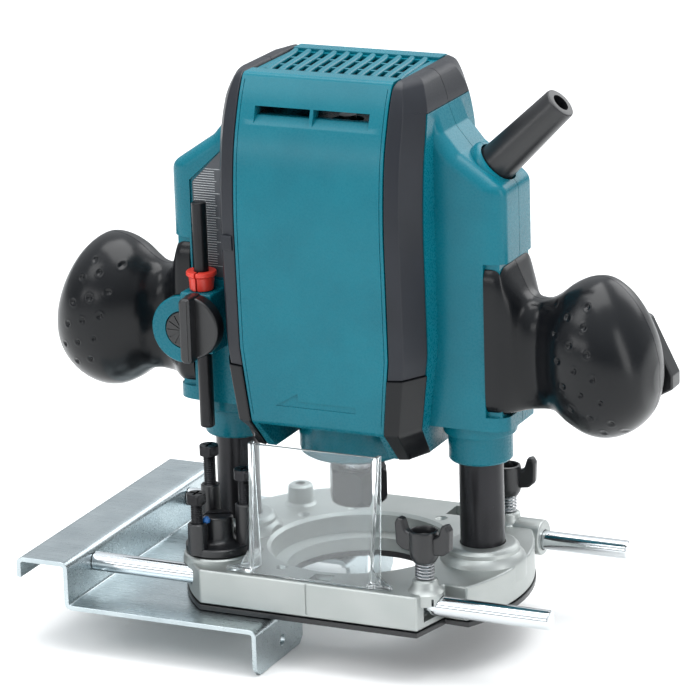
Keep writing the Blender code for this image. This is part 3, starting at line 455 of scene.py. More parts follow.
# Threadlocking resin, brushed on and cured: glossy, uneven blue
BLUE = finish("blue_threadlock_resin", "#1f63a8", 0.3, grain=0.5, relief=0.02, second="#1a5592")
# Enamelled copper wire wound in coils: warm metal under a clear lacquer
COPPER = finish("enamelled_copper_wire", "#a5532a", 0.3, metallic=0.9, grain=0.9, relief=0.05,
                second="#934620",
                stretch=(1, 1, 0.05))
# Electrical steel laminations, punched and stacked: grey, with fine edges across the stack
IRON = finish("stacked_iron_laminations", "#5a5b5e", 0.5, metallic=0.9, grain=0.5, relief=0.03,
              second="#4f5053",
              stretch=(0.02, 0.02, 1))
# Nylon moulded in its natural colour: off white and matt
WHITE = finish("natural_nylon", "#d8d7cf", 0.5, grain=0.8, relief=0.01, second="#cfcec5")
# Carbon and graphite pressed and baked: dull, dark grey
CARBON = finish("pressed_carbon", "#242426", 0.7, grain=0.5, relief=0.02, second="#2b2b2d")
# Polycarbonate moulded clear: water-white faces and bright edges
CLEAR = finish("clear_polycarbonate", "#f2f7f8", 0.05, grain=2.0, relief=0.002, spread=0.02, second="#eef5f7",
               shader={"Transmission Weight": 0.95, "IOR": 1.45})
# Painted studio sweep: pale, matt and even
FLOOR = finish("pale_floor", "#ececeb", 0.7, grain=4.0, relief=0.0, second="#eeeeed", patch=400.0)

KEPT = {
    OXIDE: ("column_left", "column_right"),
    STEEL: ("plunge_spring_left", "plunge_spring_right", "sole_screw_1", "sole_screw_2", "armature_shaft",
            "brush_holder_left", "brush_holder_right", "lower_bearing", "upper_bearing"),
    IRON: ("stator_core", "armature_core"),
    COPPER: ("field_coil_left", "field_coil_right", "commutator"),
    CARBON: ("carbon_brush_left", "carbon_brush_right"),
    WHITE: ("cooling_fan", "column_bush_left", "column_bush_right"),
}


# ---------------------------------------------------------------- geometry trees

class Tree:
    """A geometry tree with named inputs, which ends in Realize Instances and Set Material."""

    def __init__(self, name, sizes):
        self.group = bpy.data.node_groups.new(name, "GeometryNodeTree")
        self.group.interface.new_socket("Geometry", in_out="OUTPUT", socket_type="NodeSocketGeometry")
        self.sockets = {}
        for word, value in sizes.items():
            kind = "NodeSocketInt" if isinstance(value, int) else "NodeSocketFloat"
            socket = self.group.interface.new_socket(word, in_out="INPUT", socket_type=kind)
            self.sockets[word] = (socket.identifier, value)
        self.given = self.group.nodes.new("NodeGroupInput").outputs

    def add(self, kind, settings=None, links=None):
        return add(self.group, kind, settings, links)

    def maths(self, how, first, second):
        made = self.add("ShaderNodeMath", {"operation": how})
        for index, value in enumerate((first, second)):
            if isinstance(value, (int, float)):
                made.inputs[index].default_value = value
            else:
                self.group.links.new(value, made.inputs[index])
        return made.outputs[0]

    def grow(self, name, geometry, material):
        """Runs the tree and gives its plain mesh as an object."""
        whole = self.add("GeometryNodeRealizeInstances", None, {0: geometry})
        dressed = self.add("GeometryNodeSetMaterial", {"Material": material}, {"Geometry": whole.outputs[0]})
        self.add("NodeGroupOutput", None, {0: dressed.outputs[0]})
        made = put(name, bpy.data.meshes.new(name))
        step = made.modifiers.new(name, "NODES")
        step.node_group = self.group
        for identifier, value in self.sockets.values():
            step[identifier] = value
        bake(made)
        return made


def spring(name, x, y, foot, head, radius, wire, turns, finish_of):
    """A compression spring: a spiral with a round wire swept along it."""
    tree = Tree("spring_winding", {"Turns": float(turns), "Radius": radius * MM, "Height": (head - foot) * MM,
                                   "Wire": wire * MM})
    line = tree.add("GeometryNodeCurveSpiral", {"Resolution": 24},
                    {"Rotations": tree.given["Turns"], "Start Radius": tree.given["Radius"],
                     "End Radius": tree.given["Radius"], "Height": tree.given["Height"]})
    profile = tree.add("GeometryNodeCurvePrimitiveCircle", {"Resolution": 10}, {"Radius": tree.given["Wire"]})
    swept = tree.add("GeometryNodeCurveToMesh", {"Fill Caps": True},
                     {"Curve": line.outputs[0], "Profile Curve": profile.outputs[0]})
    made = tree.grow(name, swept.outputs[0], finish_of)
    made.data.transform(Matrix.Translation(at(x, y, foot)))
    return made


def threaded(name, x, y, foot, head, radius, pitch=0.8, depth=0.35, around=20):
    """A screw's shank with a helical thread."""
    steps = int((head - foot) / pitch * 4)
    sections = []
    for k in range(steps + 1):
        z = foot + (head - foot) * k / steps
        ring = []
        for i in range(around):
            phase = (z / pitch - i / around) % 1.0
            reach = radius - depth * abs(2 * phase - 1)
            turn = 2 * math.pi * i / around
            ring.append((x + reach * math.cos(turn), y + reach * math.sin(turn), z))
        sections.append(ring)
    return loft(name, sections)


def merged(name, *others):
    """Puts separate closed solids in one mesh."""
    bm = bmesh.new()
    for other in others:
        bm.from_mesh(other.data)
        bpy.data.objects.remove(other)
    data = bpy.data.meshes.new(name)
    bm.to_mesh(data)
    bm.free()
    return put(name, data)


# ---------------------------------------------------------------- base

def base_plan(grow=0.0):
    """The shoe's outline: a disc cut straight at the front and back, with a notch for the rod's end."""
    reach = SOLE_RADIUS + grow
    front, rear = -53.0 - grow, 59.0 + grow
    first = math.degrees(math.asin(-35.0 / reach))
    rear_turn = math.degrees(math.asin(rear / reach))
    front_turn = math.degrees(math.asin(-front / reach))
    corners = [(47.8, front), (51.8 + grow, -34.6)]
    right = circle(0, 0, reach, first, rear_turn, 40)
    left = circle(0, 0, reach, 180 - rear_turn, 180 + front_turn, 48)
    return rounded(corners, [1.2, 1.5], closed=False, steps=3) + right + left


def make_base():
    shoe = sweep("shoe", base_plan(), "z", SOLE_THICK + GAP, BASE_TOP)
    soften(shoe, 0.9, 3, 40)
    for side in (-1, 1):
        x = side * COLUMN_X
        join(shoe, turned(f"collar_{side}", ((0, COLLAR_TOP), (12.6, COLLAR_TOP), (13.8, COLLAR_TOP - 0.5),
                                            (14.8, COLLAR_TOP - 1.7), (15.0, COLLAR_TOP - 3.2), (15.6, 20.0),
                                            (16.8, 18.6), (17.6, 16.6), (17.6, 10), (0, 10)), (x, 0, 0),
                          sides=72),
             turned(f"clamp_boss_{side}", ((0, 21.8), (4.2, 21.8), (5.0, 21.2), (5.4, 19.0), (6.2, 17.6),
                                           (7.4, 16.6), (7.4, 12), (0, 12)), (CLAMP_X, side * ROD_Y, 0),
                    sides=48))
    nose = rod("rod_nose", (ROD_Y, ROD_Z + 1), 7.4, 44, 63.5, "x", 48)
    pedestal = turned("turret_pedestal", ((0, 19), (13.6, 19), (14.2, 18.4), (14.6, 16), (14.6, 12), (0, 12)),
                      (TURRET_X, TURRET_Y, 0))
    post = turned("rear_post",
                  ((0, 25.6), (4.2, 25.6), (5.2, 24.8), (5.6, 18), (7.4, 16.4), (7.4, 12), (0, 12)),
                  (-43.5, 36, 0), sides=48)
    join(shoe, soften(nose, 0.8), pedestal, post)
    mouth = turned("mouth", ((0, 40), (OPENING_RADIUS + 1.5, 40), (OPENING_RADIUS + 1.5, BASE_TOP + 0.01),
                             (OPENING_RADIUS, BASE_TOP - 1.2), (OPENING_RADIUS - 1.4, 9), (OPENING_LOWER, 8),
                             (OPENING_LOWER, -2), (0, -2)), (0, 0, 0), sides=96)
    cut(shoe, mouth, block("shield_window", (-1, -47.5, -5), (7.5, -40.5, 30)),
        block("centre_mark", (-0.45, -60, 4), (0.45, -52.6, 30)), block("rod_pocket", (47, -ROD_Y - 5.5, 5.2),
                                                                       (53, -ROD_Y + 5.5, 15.2)),
        block("rear_pocket", (19.5, 43, 11), (27, 54, 30)),
        rod("post_hole", (-43.5, 36), 2.1, 18, 30, count=24))
    for side in (-1, 1):
        cut(shoe, rod("rod_bore", (side * ROD_Y, ROD_Z), ROD_RADIUS + GAP, -90, 90, "x", 48),
            rod("column_bore", (side * COLUMN_X, 0), COLUMN_RADIUS + GAP, 5, 40, count=72),
            rod("stud_bore", (CLAMP_X, side * ROD_Y), 2.7, ROD_Z, 40, count=24))
    for turn in (118, 148, 214, 246, 62):
        x, y = 42.2 * math.cos(math.radians(turn)), 42.2 * math.sin(math.radians(turn))
        cut(shoe,
            turned("small_hole", ((0, 20), (2.6, 20), (2.6, BASE_TOP - 0.2), (1.5, BASE_TOP - 1.3), (1.5, 6),
                                        (0, 6)), (x, y, 0), sides=24))
    settle(shoe, CAST, "base", ("base_casting",), smooth=32)
    sole = sweep("sole_plate", base_plan(0.4), "z", 0, SOLE_THICK)
    soften(sole, 0.4, 2, 40)
    cut(sole, rod("sole_mouth", (0, 0), OPENING_LOWER, -1, 5, count=96),
        block("sole_window", (-1, -47.5, -5), (7.5, -40.5, 30)))
    for turn in (60, 240):
        x, y = 42 * math.cos(math.radians(turn)), 42 * math.sin(math.radians(turn))
        cut(sole, rod("sole_sink", (x, y), 3.9, -1, 1.3, count=32),
            rod("sole_hole", (x, y), 2.1, 1, 4, count=24))
    settle(sole, NYLON, "base", ("sub_base",))


def make_columns():
    for side, word in ((-1, "left"), (1, "right")):
        tube = turned(f"plunge_column_{word}",
                      ((6.6, 112), (8.4, 112), (COLUMN_RADIUS, 111.4), (COLUMN_RADIUS, 24.6),
                                                (8.85, 24.2), (COLUMN_RADIUS, 23.8), (COLUMN_RADIUS, 5.3),
                                                (0, 5.3),
                                                (0, 39), (6.6, 39)), (side * COLUMN_X, 0, 0), sides=96)
        settle(tube, OXIDE, "base", (f"column_{word}",))


def make_wing_bolts():
    ear = rounded([(4.4, 32.3), (9.5, 32.8), (12.2, 35.2), (12.6, 43.6), (11.2, 45.9), (8.9, 45.3),
                   (7.6, 41.0),
                   (4.4, 39.4)], [0, 1.8, 1.6, 1.3, 1.1, 1.1, 1.6, 0], steps=6)
    for side, word in ((-1, "front"), (1, "rear")):
        y = side * ROD_Y
        hub = turned(f"wing_bolt_head_{word}",
                     ((0, 38.6), (3.6, 38.6), (4.2, 39.0), (4.4, 41.4), (4.9, 42.0), (5.6, 41.7), (5.9, 40.9),
                      (5.9, 32.6), (5.5, 30.6), (4.5, 29.0), (0, 29.0)), (CLAMP_X, y, 0), sides=64)
        for way in (-1, 1):
            wing = sweep("ear", [(CLAMP_X + way * a, b) for a, b in ear], "y", y - EAR_HALF, y + EAR_HALF)
            soften(wing, EAR_ROUND, 4, 50)
            centre = at(CLAMP_X, y, 0)
            wing.data.transform(Matrix.Translation(centre) @ Matrix.Rotation(math.radians(side * EAR_TURN),
                                4, "Z")
                                @ Matrix.Translation(-centre))
            join(hub, wing)
        cut(hub, block("driver_slot", (CLAMP_X - SLOT_REACH, y - SLOT_HALF, SLOT_FLOOR),
                       (CLAMP_X + SLOT_REACH, y + SLOT_HALF, 40)),
            block("driver_cross", (CLAMP_X - SLOT_HALF, y - SLOT_REACH, SLOT_FLOOR),
                  (CLAMP_X + SLOT_HALF, y + SLOT_REACH, 40)))
        settle(hub, NYLON, f"{word}_clamp", (f"wing_bolt_{word}",))
        stud = threaded(f"wing_bolt_stud_{word}", CLAMP_X, y, ROD_Z + ROD_RADIUS + 0.4, 29.2, 2.35)
        settle(stud, ZINC, f"{word}_clamp", smooth=60, weigh=False)
        wound = spring(f"clamp_winding_{word}", CLAMP_X, y, CLAMP_SPRING_FOOT, CLAMP_SPRING_HEAD,
                       CLAMP_SPRING_RADIUS, CLAMP_SPRING_WIRE, CLAMP_SPRING_TURNS, STEEL)
        settle(wound, STEEL, "base", (f"clamp_spring_{word}",), smooth=80, weigh=False)


def make_turret():
    disc = turned("turret_disc", ((0, 34.2), (5.2, 34.2), (6.0, 33.6), (6.2, 32.8), (6.2, 25.4), (6.8, 24.0),
                                  (8.2, 23.0), (11.8, 22.4), (12.2, 22.8), (13.0, 22.8), (13.5, 22.3),
                                  (13.5, 19.9),
                                  (13.1, 19.4), (0, 19.4)), (TURRET_X, TURRET_Y, 0), sides=96)
    heading = math.radians(28)
    slot = block("turret_slot", (TURRET_X - 8, TURRET_Y - 0.8, 32.6), (TURRET_X + 8, TURRET_Y + 0.8, 40))
    centre = at(TURRET_X, TURRET_Y, 0)
    slot.data.transform(Matrix.Translation(centre) @ Matrix.Rotation(heading, 4,
                                                                     "Z") @ Matrix.Translation(-centre))
    cut(disc, slot)
    for word, angle, barrel, top in STOPS:
        x = TURRET_X + STOP_CIRCLE * math.cos(math.radians(angle))
        y = TURRET_Y + STOP_CIRCLE * math.sin(math.radians(angle))
        post = turned(f"barrel_{word}", ((0, barrel), (3.4, barrel), (3.9, barrel - 0.5), (4.0, barrel - 6),
                                         (4.0, 20.5), (0, 20.5)), (x, y, 0), sides=48)
        join(disc, post)
        cut(disc, turned("stop_bore", ((0, barrel + 4), (3.0, barrel + 4), (2.8, barrel - 0.6), (2.8, 22.2),
                                       (0, 22.2)), (x, y, 0), sides=32))
        head = top - 4.2
        hexagon = sweep(f"stop_head_{word}", circle(x, y, 4.4, count=6), "z", head + 0.5, top)
        keep(hexagon, turned("head_chamfer", ((0, top), (3.7, top), (4.6, top - 1.0), (4.6, head + 1.0),
                                              (4.0, head + 0.4), (0, head + 0.4)), (x, y, 0), sides=48))
        join(hexagon,
             turned("head_washer", ((0, head + 0.8), (3.9, head + 0.8), (3.9, head), (0, head)), (x, y, 0),
                             sides=48))
        cut(hexagon, block("cross_a", (x - 2.7, y - 0.55, top - 1.5), (x + 2.7, y + 0.55, top + 2)),
            block("cross_b", (x - 0.55, y - 2.7, top - 1.5), (x + 0.55, y + 2.7, top + 2)))
        shank = threaded(f"stop_shank_{word}", x, y, barrel - 8.5, head + 0.1, 2.55)
        screw = merged(f"stop_{word}", hexagon, shank)
        settle(screw, OXIDE, f"{word}_stop", (f"stop_screw_{word}",), smooth=45,
               weigh=False)
    settle(disc, NYLON, "turret", ("turret",))
    drop = turned("threadlock_drop",
                  ((0, 35.0), (0.9, 34.7), (1.5, 33.9), (1.7, 33.0), (1.5, 32.4), (0, 32.4)),
                  (TURRET_X - 1.2, TURRET_Y - 8.2, 0.6), sides=24)
    settle(drop, BLUE, "turret")


def make_guide():
    path = rounded([(-122.5, 9.2), (-122.5, 17.0), (WALL_X, 17.0), (WALL_X, -1.3), (FENCE_X, -1.3),
                    (FENCE_X, low("guide_plate", 2))], 2.4, steps=6, closed=False)
    outer, inner = [], []
    for i, point in enumerate(path):
        along = (Vector(path[min(i + 1, len(path) - 1)]) - Vector(path[max(i - 1, 0)])).normalized()
        across = Vector((-along.y, along.x)) * SHEET / 2
        outer.append(tuple(Vector(point) + across))
        inner.append(tuple(Vector(point) - across))
    plate = sweep("bent_guide", outer + inner[::-1], "y", -GUIDE_HALF, GUIDE_HALF)
    cut(plate,
        sweep("fence_gap", rounded([(-24, -40), (24, -40), (24, -3.4), (-24, -3.4)], [0, 0, 4, 4]), "x",
                     FENCE_X - 3, FENCE_X + 3),
        sweep("cutter_room", rounded([(FENCE_X - 22, -20), (FENCE_X + 6, -20), (FENCE_X + 6, 20),
                                      (FENCE_X - 22, 20)], [5, 0, 0, 5]), "z", -6, 0.6))
    for side in (-1, 1):
        for turn in (-1, 1):
            corner = [(side * (GUIDE_HALF + 1) , -21), (side * (GUIDE_HALF - 4), -21),
                      (side * (GUIDE_HALF + 1), -16)]
            if turn > 0:
                corner = [(side * 23.9, -21), (side * 28, -21), (side * 23.9, -17)]
            cut(plate, sweep("lug_corner", corner, "x", FENCE_X - 3, FENCE_X + 3))
        cut(plate, rod("fence_hole", (side * 43, -12.5), 2.3, FENCE_X - 5, FENCE_X + 5, "x", 32))
    clean(plate)
    soften(plate, 0.25, 2, 50)
    settle(plate, ZINC, "straight_guide", ("guide_plate",), smooth=50)
    for side, word in ((-1, "front"), (1, "rear")):
        end, start = high(f"guide_rod_{word}", 0), low(f"guide_rod_{word}", 0)
        bar = turned(f"bright_rod_{word}",
                     ((0, end), (ROD_RADIUS - 0.9, end), (ROD_RADIUS - 0.25, end - 0.35),
                                            (ROD_RADIUS, end - 1.0), (ROD_RADIUS, start), (0, start)),
                     (0, side * ROD_Y, ROD_Z), axis=(1, 0, 0), sides=72)
        settle(bar, CHROME, "straight_guide", (f"guide_rod_{word}",))


def shield_plan(height, half, front, wall=1.5):
    """The deflector's plan: a front wall and two side walls with rounded corners, open to the back."""
    back = 39.5
    outside = rounded([(half, -back), (half, -front), (-half, -front), (-half, -back)], 3.2, closed=False)
    inside = rounded([(-half + wall, -back), (-half + wall, -front + wall), (half - wall, -front + wall),
                      (half - wall, -back)], 1.9, closed=False)
    return [(x, y, height) for x, y in outside + inside]


def make_shield():
    foot, head = low("chip_deflector", 2), high("chip_deflector", 2)
    shield = loft("clear_deflector", [shield_plan(foot + (head - foot) * k / 6, 26.9 + 1.6 * k / 6,
                                                  51.0 - 7.4 * k / 6) for k in range(7)])
    for side in (-1, 1):
        tab = sweep("foot_tab",
                    [(side * 25.4, -50.8), (side * 36.5, -50), (side * 36.2, -49), (side * 26.2, -40.5)],
                    "z", foot, foot + 1.8)
        web = sweep("foot_web", [(side * 26.4, foot + 1), (side * 31.5, foot + 1), (side * 26.9, foot + 9)],
                    "y",
                    -49.6, -48.2)
        join(shield, tab, web)
    clean(shield)
    soften(shield, 0.3, 2, 50)
    settle(shield, CLEAR, "base", ("chip_deflector",), smooth=50)


# ---------------------------------------------------------------- motor casing

def trunk_at(height):
    """(half depth, half width) of the trunk at a height."""
    if height <= TRUNK[1][0]:
        t = (height - TRUNK[0][0]) / (TRUNK[1][0] - TRUNK[0][0])
        return tuple(a + (b - a) * t for a, b in zip(TRUNK[0][1:], TRUNK[1][1:]))
    return tuple(between(TRUNK[1:], min(height, TOP))[1:])


def heights(start, end, step=4.0):
    count = max(2, int(round((end - start) / step)) + 1)
    spread = [start + (end - start) * i / (count - 1) for i in range(count)]
    return sorted({*spread, *(z for z in (TRUNK[1][0],) if start < z < end)})


def corner_at(side):
    return CORNER_X - max(0.0, SIDE_X - side) * 0.5


def narrowed(points):
    """Draws a plan in towards the foot of the casing, where the trunk is slimmer."""
    return [(x * (1 - 0.1 * min(1.0, max(0.0, (108.0 - z) / 31.0))), y, z) for x, y, z in points]


def trunk_plan(height, inset=0.0, side_back=12.5):
    depth, side = trunk_at(height)
    corner = corner_at(side)
    quarter = [(PANEL_HALF - inset, -depth + inset), (corner - inset, -depth + 1.6 + inset * 1.6),
               (side - inset, -depth + side_back + inset * 0.4)]
    right = quarter + [(x, -y) for x, y in reversed(quarter)]
    return narrowed([(x, y, height) for x, y in right + [(-x, y) for x, y in reversed(right)]])


def side_plan(height):
    depth, side = trunk_at(height)
    back = depth - 12.5 - GAP
    return narrowed([(x, y, height) for x, y in ((side, -back), (side, back), (-side, back), (-side, -back))])


def cord_point(along):
    return (CORD_AT[0] + along * math.cos(CORD_ANGLE), 0.0, CORD_AT[2] + along * math.sin(CORD_ANGLE))


def cord_axis():
    return (math.cos(CORD_ANGLE), 0.0, math.sin(CORD_ANGLE))


def inset(points, amounts):
    """An outline with each edge moved inwards by its own amount."""
    lines = []
    for i, point in enumerate(points):
        here, there = Vector(point), Vector(points[(i + 1) % len(points)])
        along = (there - here).normalized()
        lines.append((here + Vector((along.y, -along.x)) * amounts[i], along))
    moved = []
    for i in range(len(points)):
        (first, along), (second, onward) = lines[i - 1], lines[i]
        gap = second - first
        step = (gap.x * onward.y - gap.y * onward.x) / (along.x * onward.y - along.y * onward.x)
        moved.append(tuple(first + along * step))
    return moved


def wing_solid(side):
    """A side wing, its edges rolled over to the front and back."""
    corners = [(30, CAP_LOWER - GAP), (43.4, CAP_LOWER - GAP), (46.6, 195.0), (53.3, 187.0),
               (WING_END, 174.2),
               (WING_END, UNDERSIDE), (30, UNDERSIDE)]
    sections = []
    for turn in (*range(0, 91, 15), *range(90, -1, -15)):
        roll = 5.8 * (1 - math.sin(math.radians(turn)))
        y = -WING_HALF + 5.8 * (1 - math.cos(math.radians(turn)))
        plan = rounded(inset(corners, [0, roll, roll, roll, 1.7 * roll, 0, 0]),
                       [0, 0.6, 3 + roll, 6 + roll, 6.2 - roll, 0, 0], steps=6)
        sections.append([(side * x, -y if len(sections) > 6 else y, z) for x, z in plan])
    return loft(f"wing_{side}", sections)


def ledge_cutter(sign, start, end):
    """Cuts an air slot with a sloping ledge below it, through a front or rear panel."""
    depth = trunk_at(201)[0]
    plan = [(-depth - 6, 198.6), (-trunk_at(198.6)[0], 198.6), (-depth + 2.4, 201.4), (-20, 201.4),
            (-20, 205.2),
            (-depth - 6, 205.2)]
    return sweep("air_slot", [(sign * -y, z) for y, z in plan], "x", start, end)


def make_casing():
    top = TOP - 3.4
    body = loft("casing", [trunk_plan(z, STRIP_THICK + GAP) for z in heights(LEG_BOTTOM, top)])
    join(body, loft("sides", [side_plan(z) for z in heights(LEG_BOTTOM, CAP_LOWER - GAP)]),
         wing_solid(-1), wing_solid(1))
    arch = [(-22, 40), (-26.5, UNDERSIDE), (26.5, UNDERSIDE), (22, 40)]
    cavity = loft("cavity",
                  [trunk_plan(z, STRIP_THICK + GAP + 2.6) for z in heights(UNDERSIDE + 2.6, top - 2.6, 8)])
    cut(body, sweep("arch", arch, "y", -60, 60), cavity)
    for side in (-1, 1):
        x = side * COLUMN_X
        hollow = [(side * a, b) for a, b in ((36, UNDERSIDE + 2.6), (67.4, UNDERSIDE + 2.6), (67.4, 170.5),
                                            (52.5, 182.5), (45.0, 189.0), (36, 196.0))]
        cut(body, sweep("hollow", hollow, "y", -12.4, 12.4))
        join(body, turned("boss",
                          ((0, 86), (13, 86), (13, 78), (14.9, 77), (14.9, 71.6), (14.5, 71.0), (13.2, 70.8),
                                   (13, 69.6), (13, 60.2), (12.4, 59.4), (0, 59.4)), (x, 0, 0), sides=72),
             block("seat", (x - 12, -14, 150), (x + 12.5, 14, 153)))
        cut(body, rod("bush_bore", (x, 0), 11.3, 60.9, 87, count=64),
            rod("column_way", (x, 0), 9.5, 50, 87, count=64))
        ends = sorted((side * (ROOT_START - GAP), side * 90))
        root = block("root", (ends[0], -40, 81.7), (ends[1], 40, 144.3))
        inner = sorted((side * 50, side * CORE_END))
        cut(root, block("core", (inner[0], -CORE_HALF, 60), (inner[1], CORE_HALF, 170)))
        cut(body, root)
    join(body,
         turned("nose", ((0, 77), (23.5, 77), (23.5, 60.0), (22.9, 58.2), (21.4, 57.2), (0, 57)), (0, 0, 0),
                      sides=96), block("shelf", (-42, -12, 183), (42, 12, 194)))
    cut(body, rod("bearing_low", (0, 0), 13.3, 60.7, 82), rod("shaft_way", (0, 0), 8.5, 50, 62),
        rod("bearing_up", (0, 0), 9.8, 182, 191.3), rod("shaft_up", (0, 0), 6.5, 191, 205),
        block("top_opening", (-27, -17.5, 205), (27, 17.5, 225)))
    for sign in (-1, 1):
        cut(body, ledge_cutter(sign, -24.4, -0.7), ledge_cutter(sign, 0.7, 24.6))
    join(body, turned("socket_ring", ((0, 3.6), (9.6, 3.6), (10.6, 3.2), (11.2, 2.2), (11.4, -4), (0, -4)),
                      cord_point(0), axis=cord_axis()))
    cut(body,
        turned("socket_bore", ((0, 14), (8.9, 14), (8.9, -9), (0, -9)), cord_point(0), axis=cord_axis()))
    halves = []
    for sign, word in ((-1, "front"), (1, "rear")):
        half = copy_of(body, f"casing_{word}")
        if sign < 0:
            holder = block("holder", (POLE_X - 7, POLE_Y - 6.4, HOLDER[0]),
                           (POLE_X + 7, -CORE_HALF, HOLDER[1]))
            boss = rod("round_boss", ROUND_BOSS, 14.0, BOSS_FRONT, -CORE_HALF + 0.5, "y", 96)
            join(half, soften(holder, 1.0), soften(boss, 0.8))
            stops = [(TURRET_X + STOP_CIRCLE * math.cos(math.radians(a)),
                      TURRET_Y + STOP_CIRCLE * math.sin(math.radians(a))) for a in (130, 10)]
            cut(half, rod("pole_bore", (POLE_X, POLE_Y), 3.3, 90, 140, count=48),
                rod("knob_bore", (POLE_X, KNOB_Z), 2.8, -40, POLE_Y, "y", 32),
                rod("disc_bore", ROUND_BOSS, 7.9, -40, BOSS_FRONT + 1.6, "y", 64),
                sweep("scale_pocket", scale_plan(1.2), "y", -30, -WING_HALF + 1.0),
                *[rod("stop_relief", place, 5.3, 50, 96.3, count=48) for place in stops])
        else:
            cut(half, rod("lever_bore", (-59.5, 112), 3.3, 5, 40, "y", 32),
                *[rod("screw_sink", place, 3.9, 13.8, 40, "y", 40) for place in CASING_SCREWS])
        span = sorted((sign * GAP / 2, sign * 80))
        keep(half, block("half", (-100, span[0], 40), (100, span[1], 230)))
        halves.append(half)
    bpy.data.objects.remove(body)
    for half, word in zip(halves, ("front", "rear")):
        clean(half, 0.01)
        settle(half, TEAL, "motor_unit", (f"housing_{word}",), smooth=36)


CASING_SCREWS = ((-49.0, 181.0), (49.0, 181.0), (-48.5, 92.0), (48.5, 92.0))


def scale_plan(grow=0.0):
    """The printed scale's outline, with its top corner cut to follow the wing."""
    return [(-45.4 + grow, 129 - grow), (-61.7 - grow, 129 - grow), (-61.7 - grow, 167.8 + grow * 0.5),
            (-45.4 + grow, 184.2 + grow)]


def make_panels():
    """The front and rear panels: one bent profile each, with a rolled top edge."""
    for sign, word in ((-1, "front"), (1, "rear")):
        outer = [(-trunk_at(z)[0], z) for z in heights(LEG_BOTTOM, 212.6, 3.0)]
        edge = trunk_at(TOP)[0]
        outer += rounded([outer[-1], (-edge - 0.2, TOP), (-edge + 8, TOP)], 3.4, steps=8, closed=False)[1:]
        inner = [(-edge + 8, TOP - 2.6), (-edge + 3.6, TOP - 2.6)]
        inner += [(-trunk_at(z)[0] + STRIP_THICK, z) for z in heights(LEG_BOTTOM, 211.0, 4.0)[::-1]]
        panel = sweep(f"{word}_panel", [(sign * -y, z) for y, z in outer + inner], "x", -PANEL_HALF,
                      PANEL_HALF)
        soften(panel, 0.35, 2, 60)
        for vert in panel.data.vertices:
            vert.co.x = narrowed([(vert.co.x, 0, (vert.co.z - SOLE) / MM)])[0][0]
        arch = sweep("panel_arch", [(-22, 40), (-26.5, UNDERSIDE), (26.5, UNDERSIDE), (22, 40)], "y", -60, 60)
        cut(panel, arch, ledge_cutter(sign, -24.4, -0.7), ledge_cutter(sign, 0.7, 24.6))
        for x in (-30.7, 30.5):
            groove = loft("border", [narrowed([
                (x, sign * (trunk_at(z)[0] - 0.3), z), (x + 0.3, sign * (trunk_at(z)[0] - 0.3), z),
                (x + 0.3, sign * (trunk_at(z)[0] + 3), z), (x, sign * (trunk_at(z)[0] + 3), z)])
                for z in heights(80, 214.5, 4.0)])
            cut(panel, groove)
        if sign < 0:
            arrow = [(-17.6, 84.8), (17.2, 84.8), (17.2, 87.4), (-7.8, 87.4), (-7.8, 90.6)]
            depth = trunk_at(87)[0]
            cut(panel, sweep("arrow", arrow, "y", -depth - 4, -depth + 0.45))
        clean(panel, 0.01)
        settle(panel, TEAL, "motor_unit", smooth=36)


def strip_plan(height, proud=0.0, start=PANEL_HALF + GAP, deep=STRIP_THICK):
    depth, side = trunk_at(height)
    corner = corner_at(side)
    points = [(start, -depth - proud), (corner + proud * 0.7, -depth + 1.6 - proud),
              (side + proud, -depth + 12.5), (side - deep, -depth + 12.5),
              (corner - deep, -depth + 1.6 + deep * 0.7), (start, -depth + deep)]
    return narrowed([(x, y, height) for x, y in rounded(points, [0.6, 1.3, 0.6, 0, 0, 0], steps=6)])


def cap_plan(height, inset=0.0):
    depth, side = trunk_at(min(height, TOP))
    corner = corner_at(side)
    start = PANEL_HALF + GAP + inset * 0.4
    points = [(start, -depth + inset), (corner - inset * 0.6, -depth + 1.6 + inset),
              (side - inset, -depth + 12.5 + inset * 0.4), (side - inset, -GAP / 2), (start, -GAP / 2)]
    return [(x, y, height) for x, y in rounded(points, [0.6, 1.3, 2.0, 0, 0], steps=6)]


def flipped(sections, x_sign, y_sign):
    return [[(x * x_sign, y * -y_sign, z) for x, y, z in section] for section in sections]


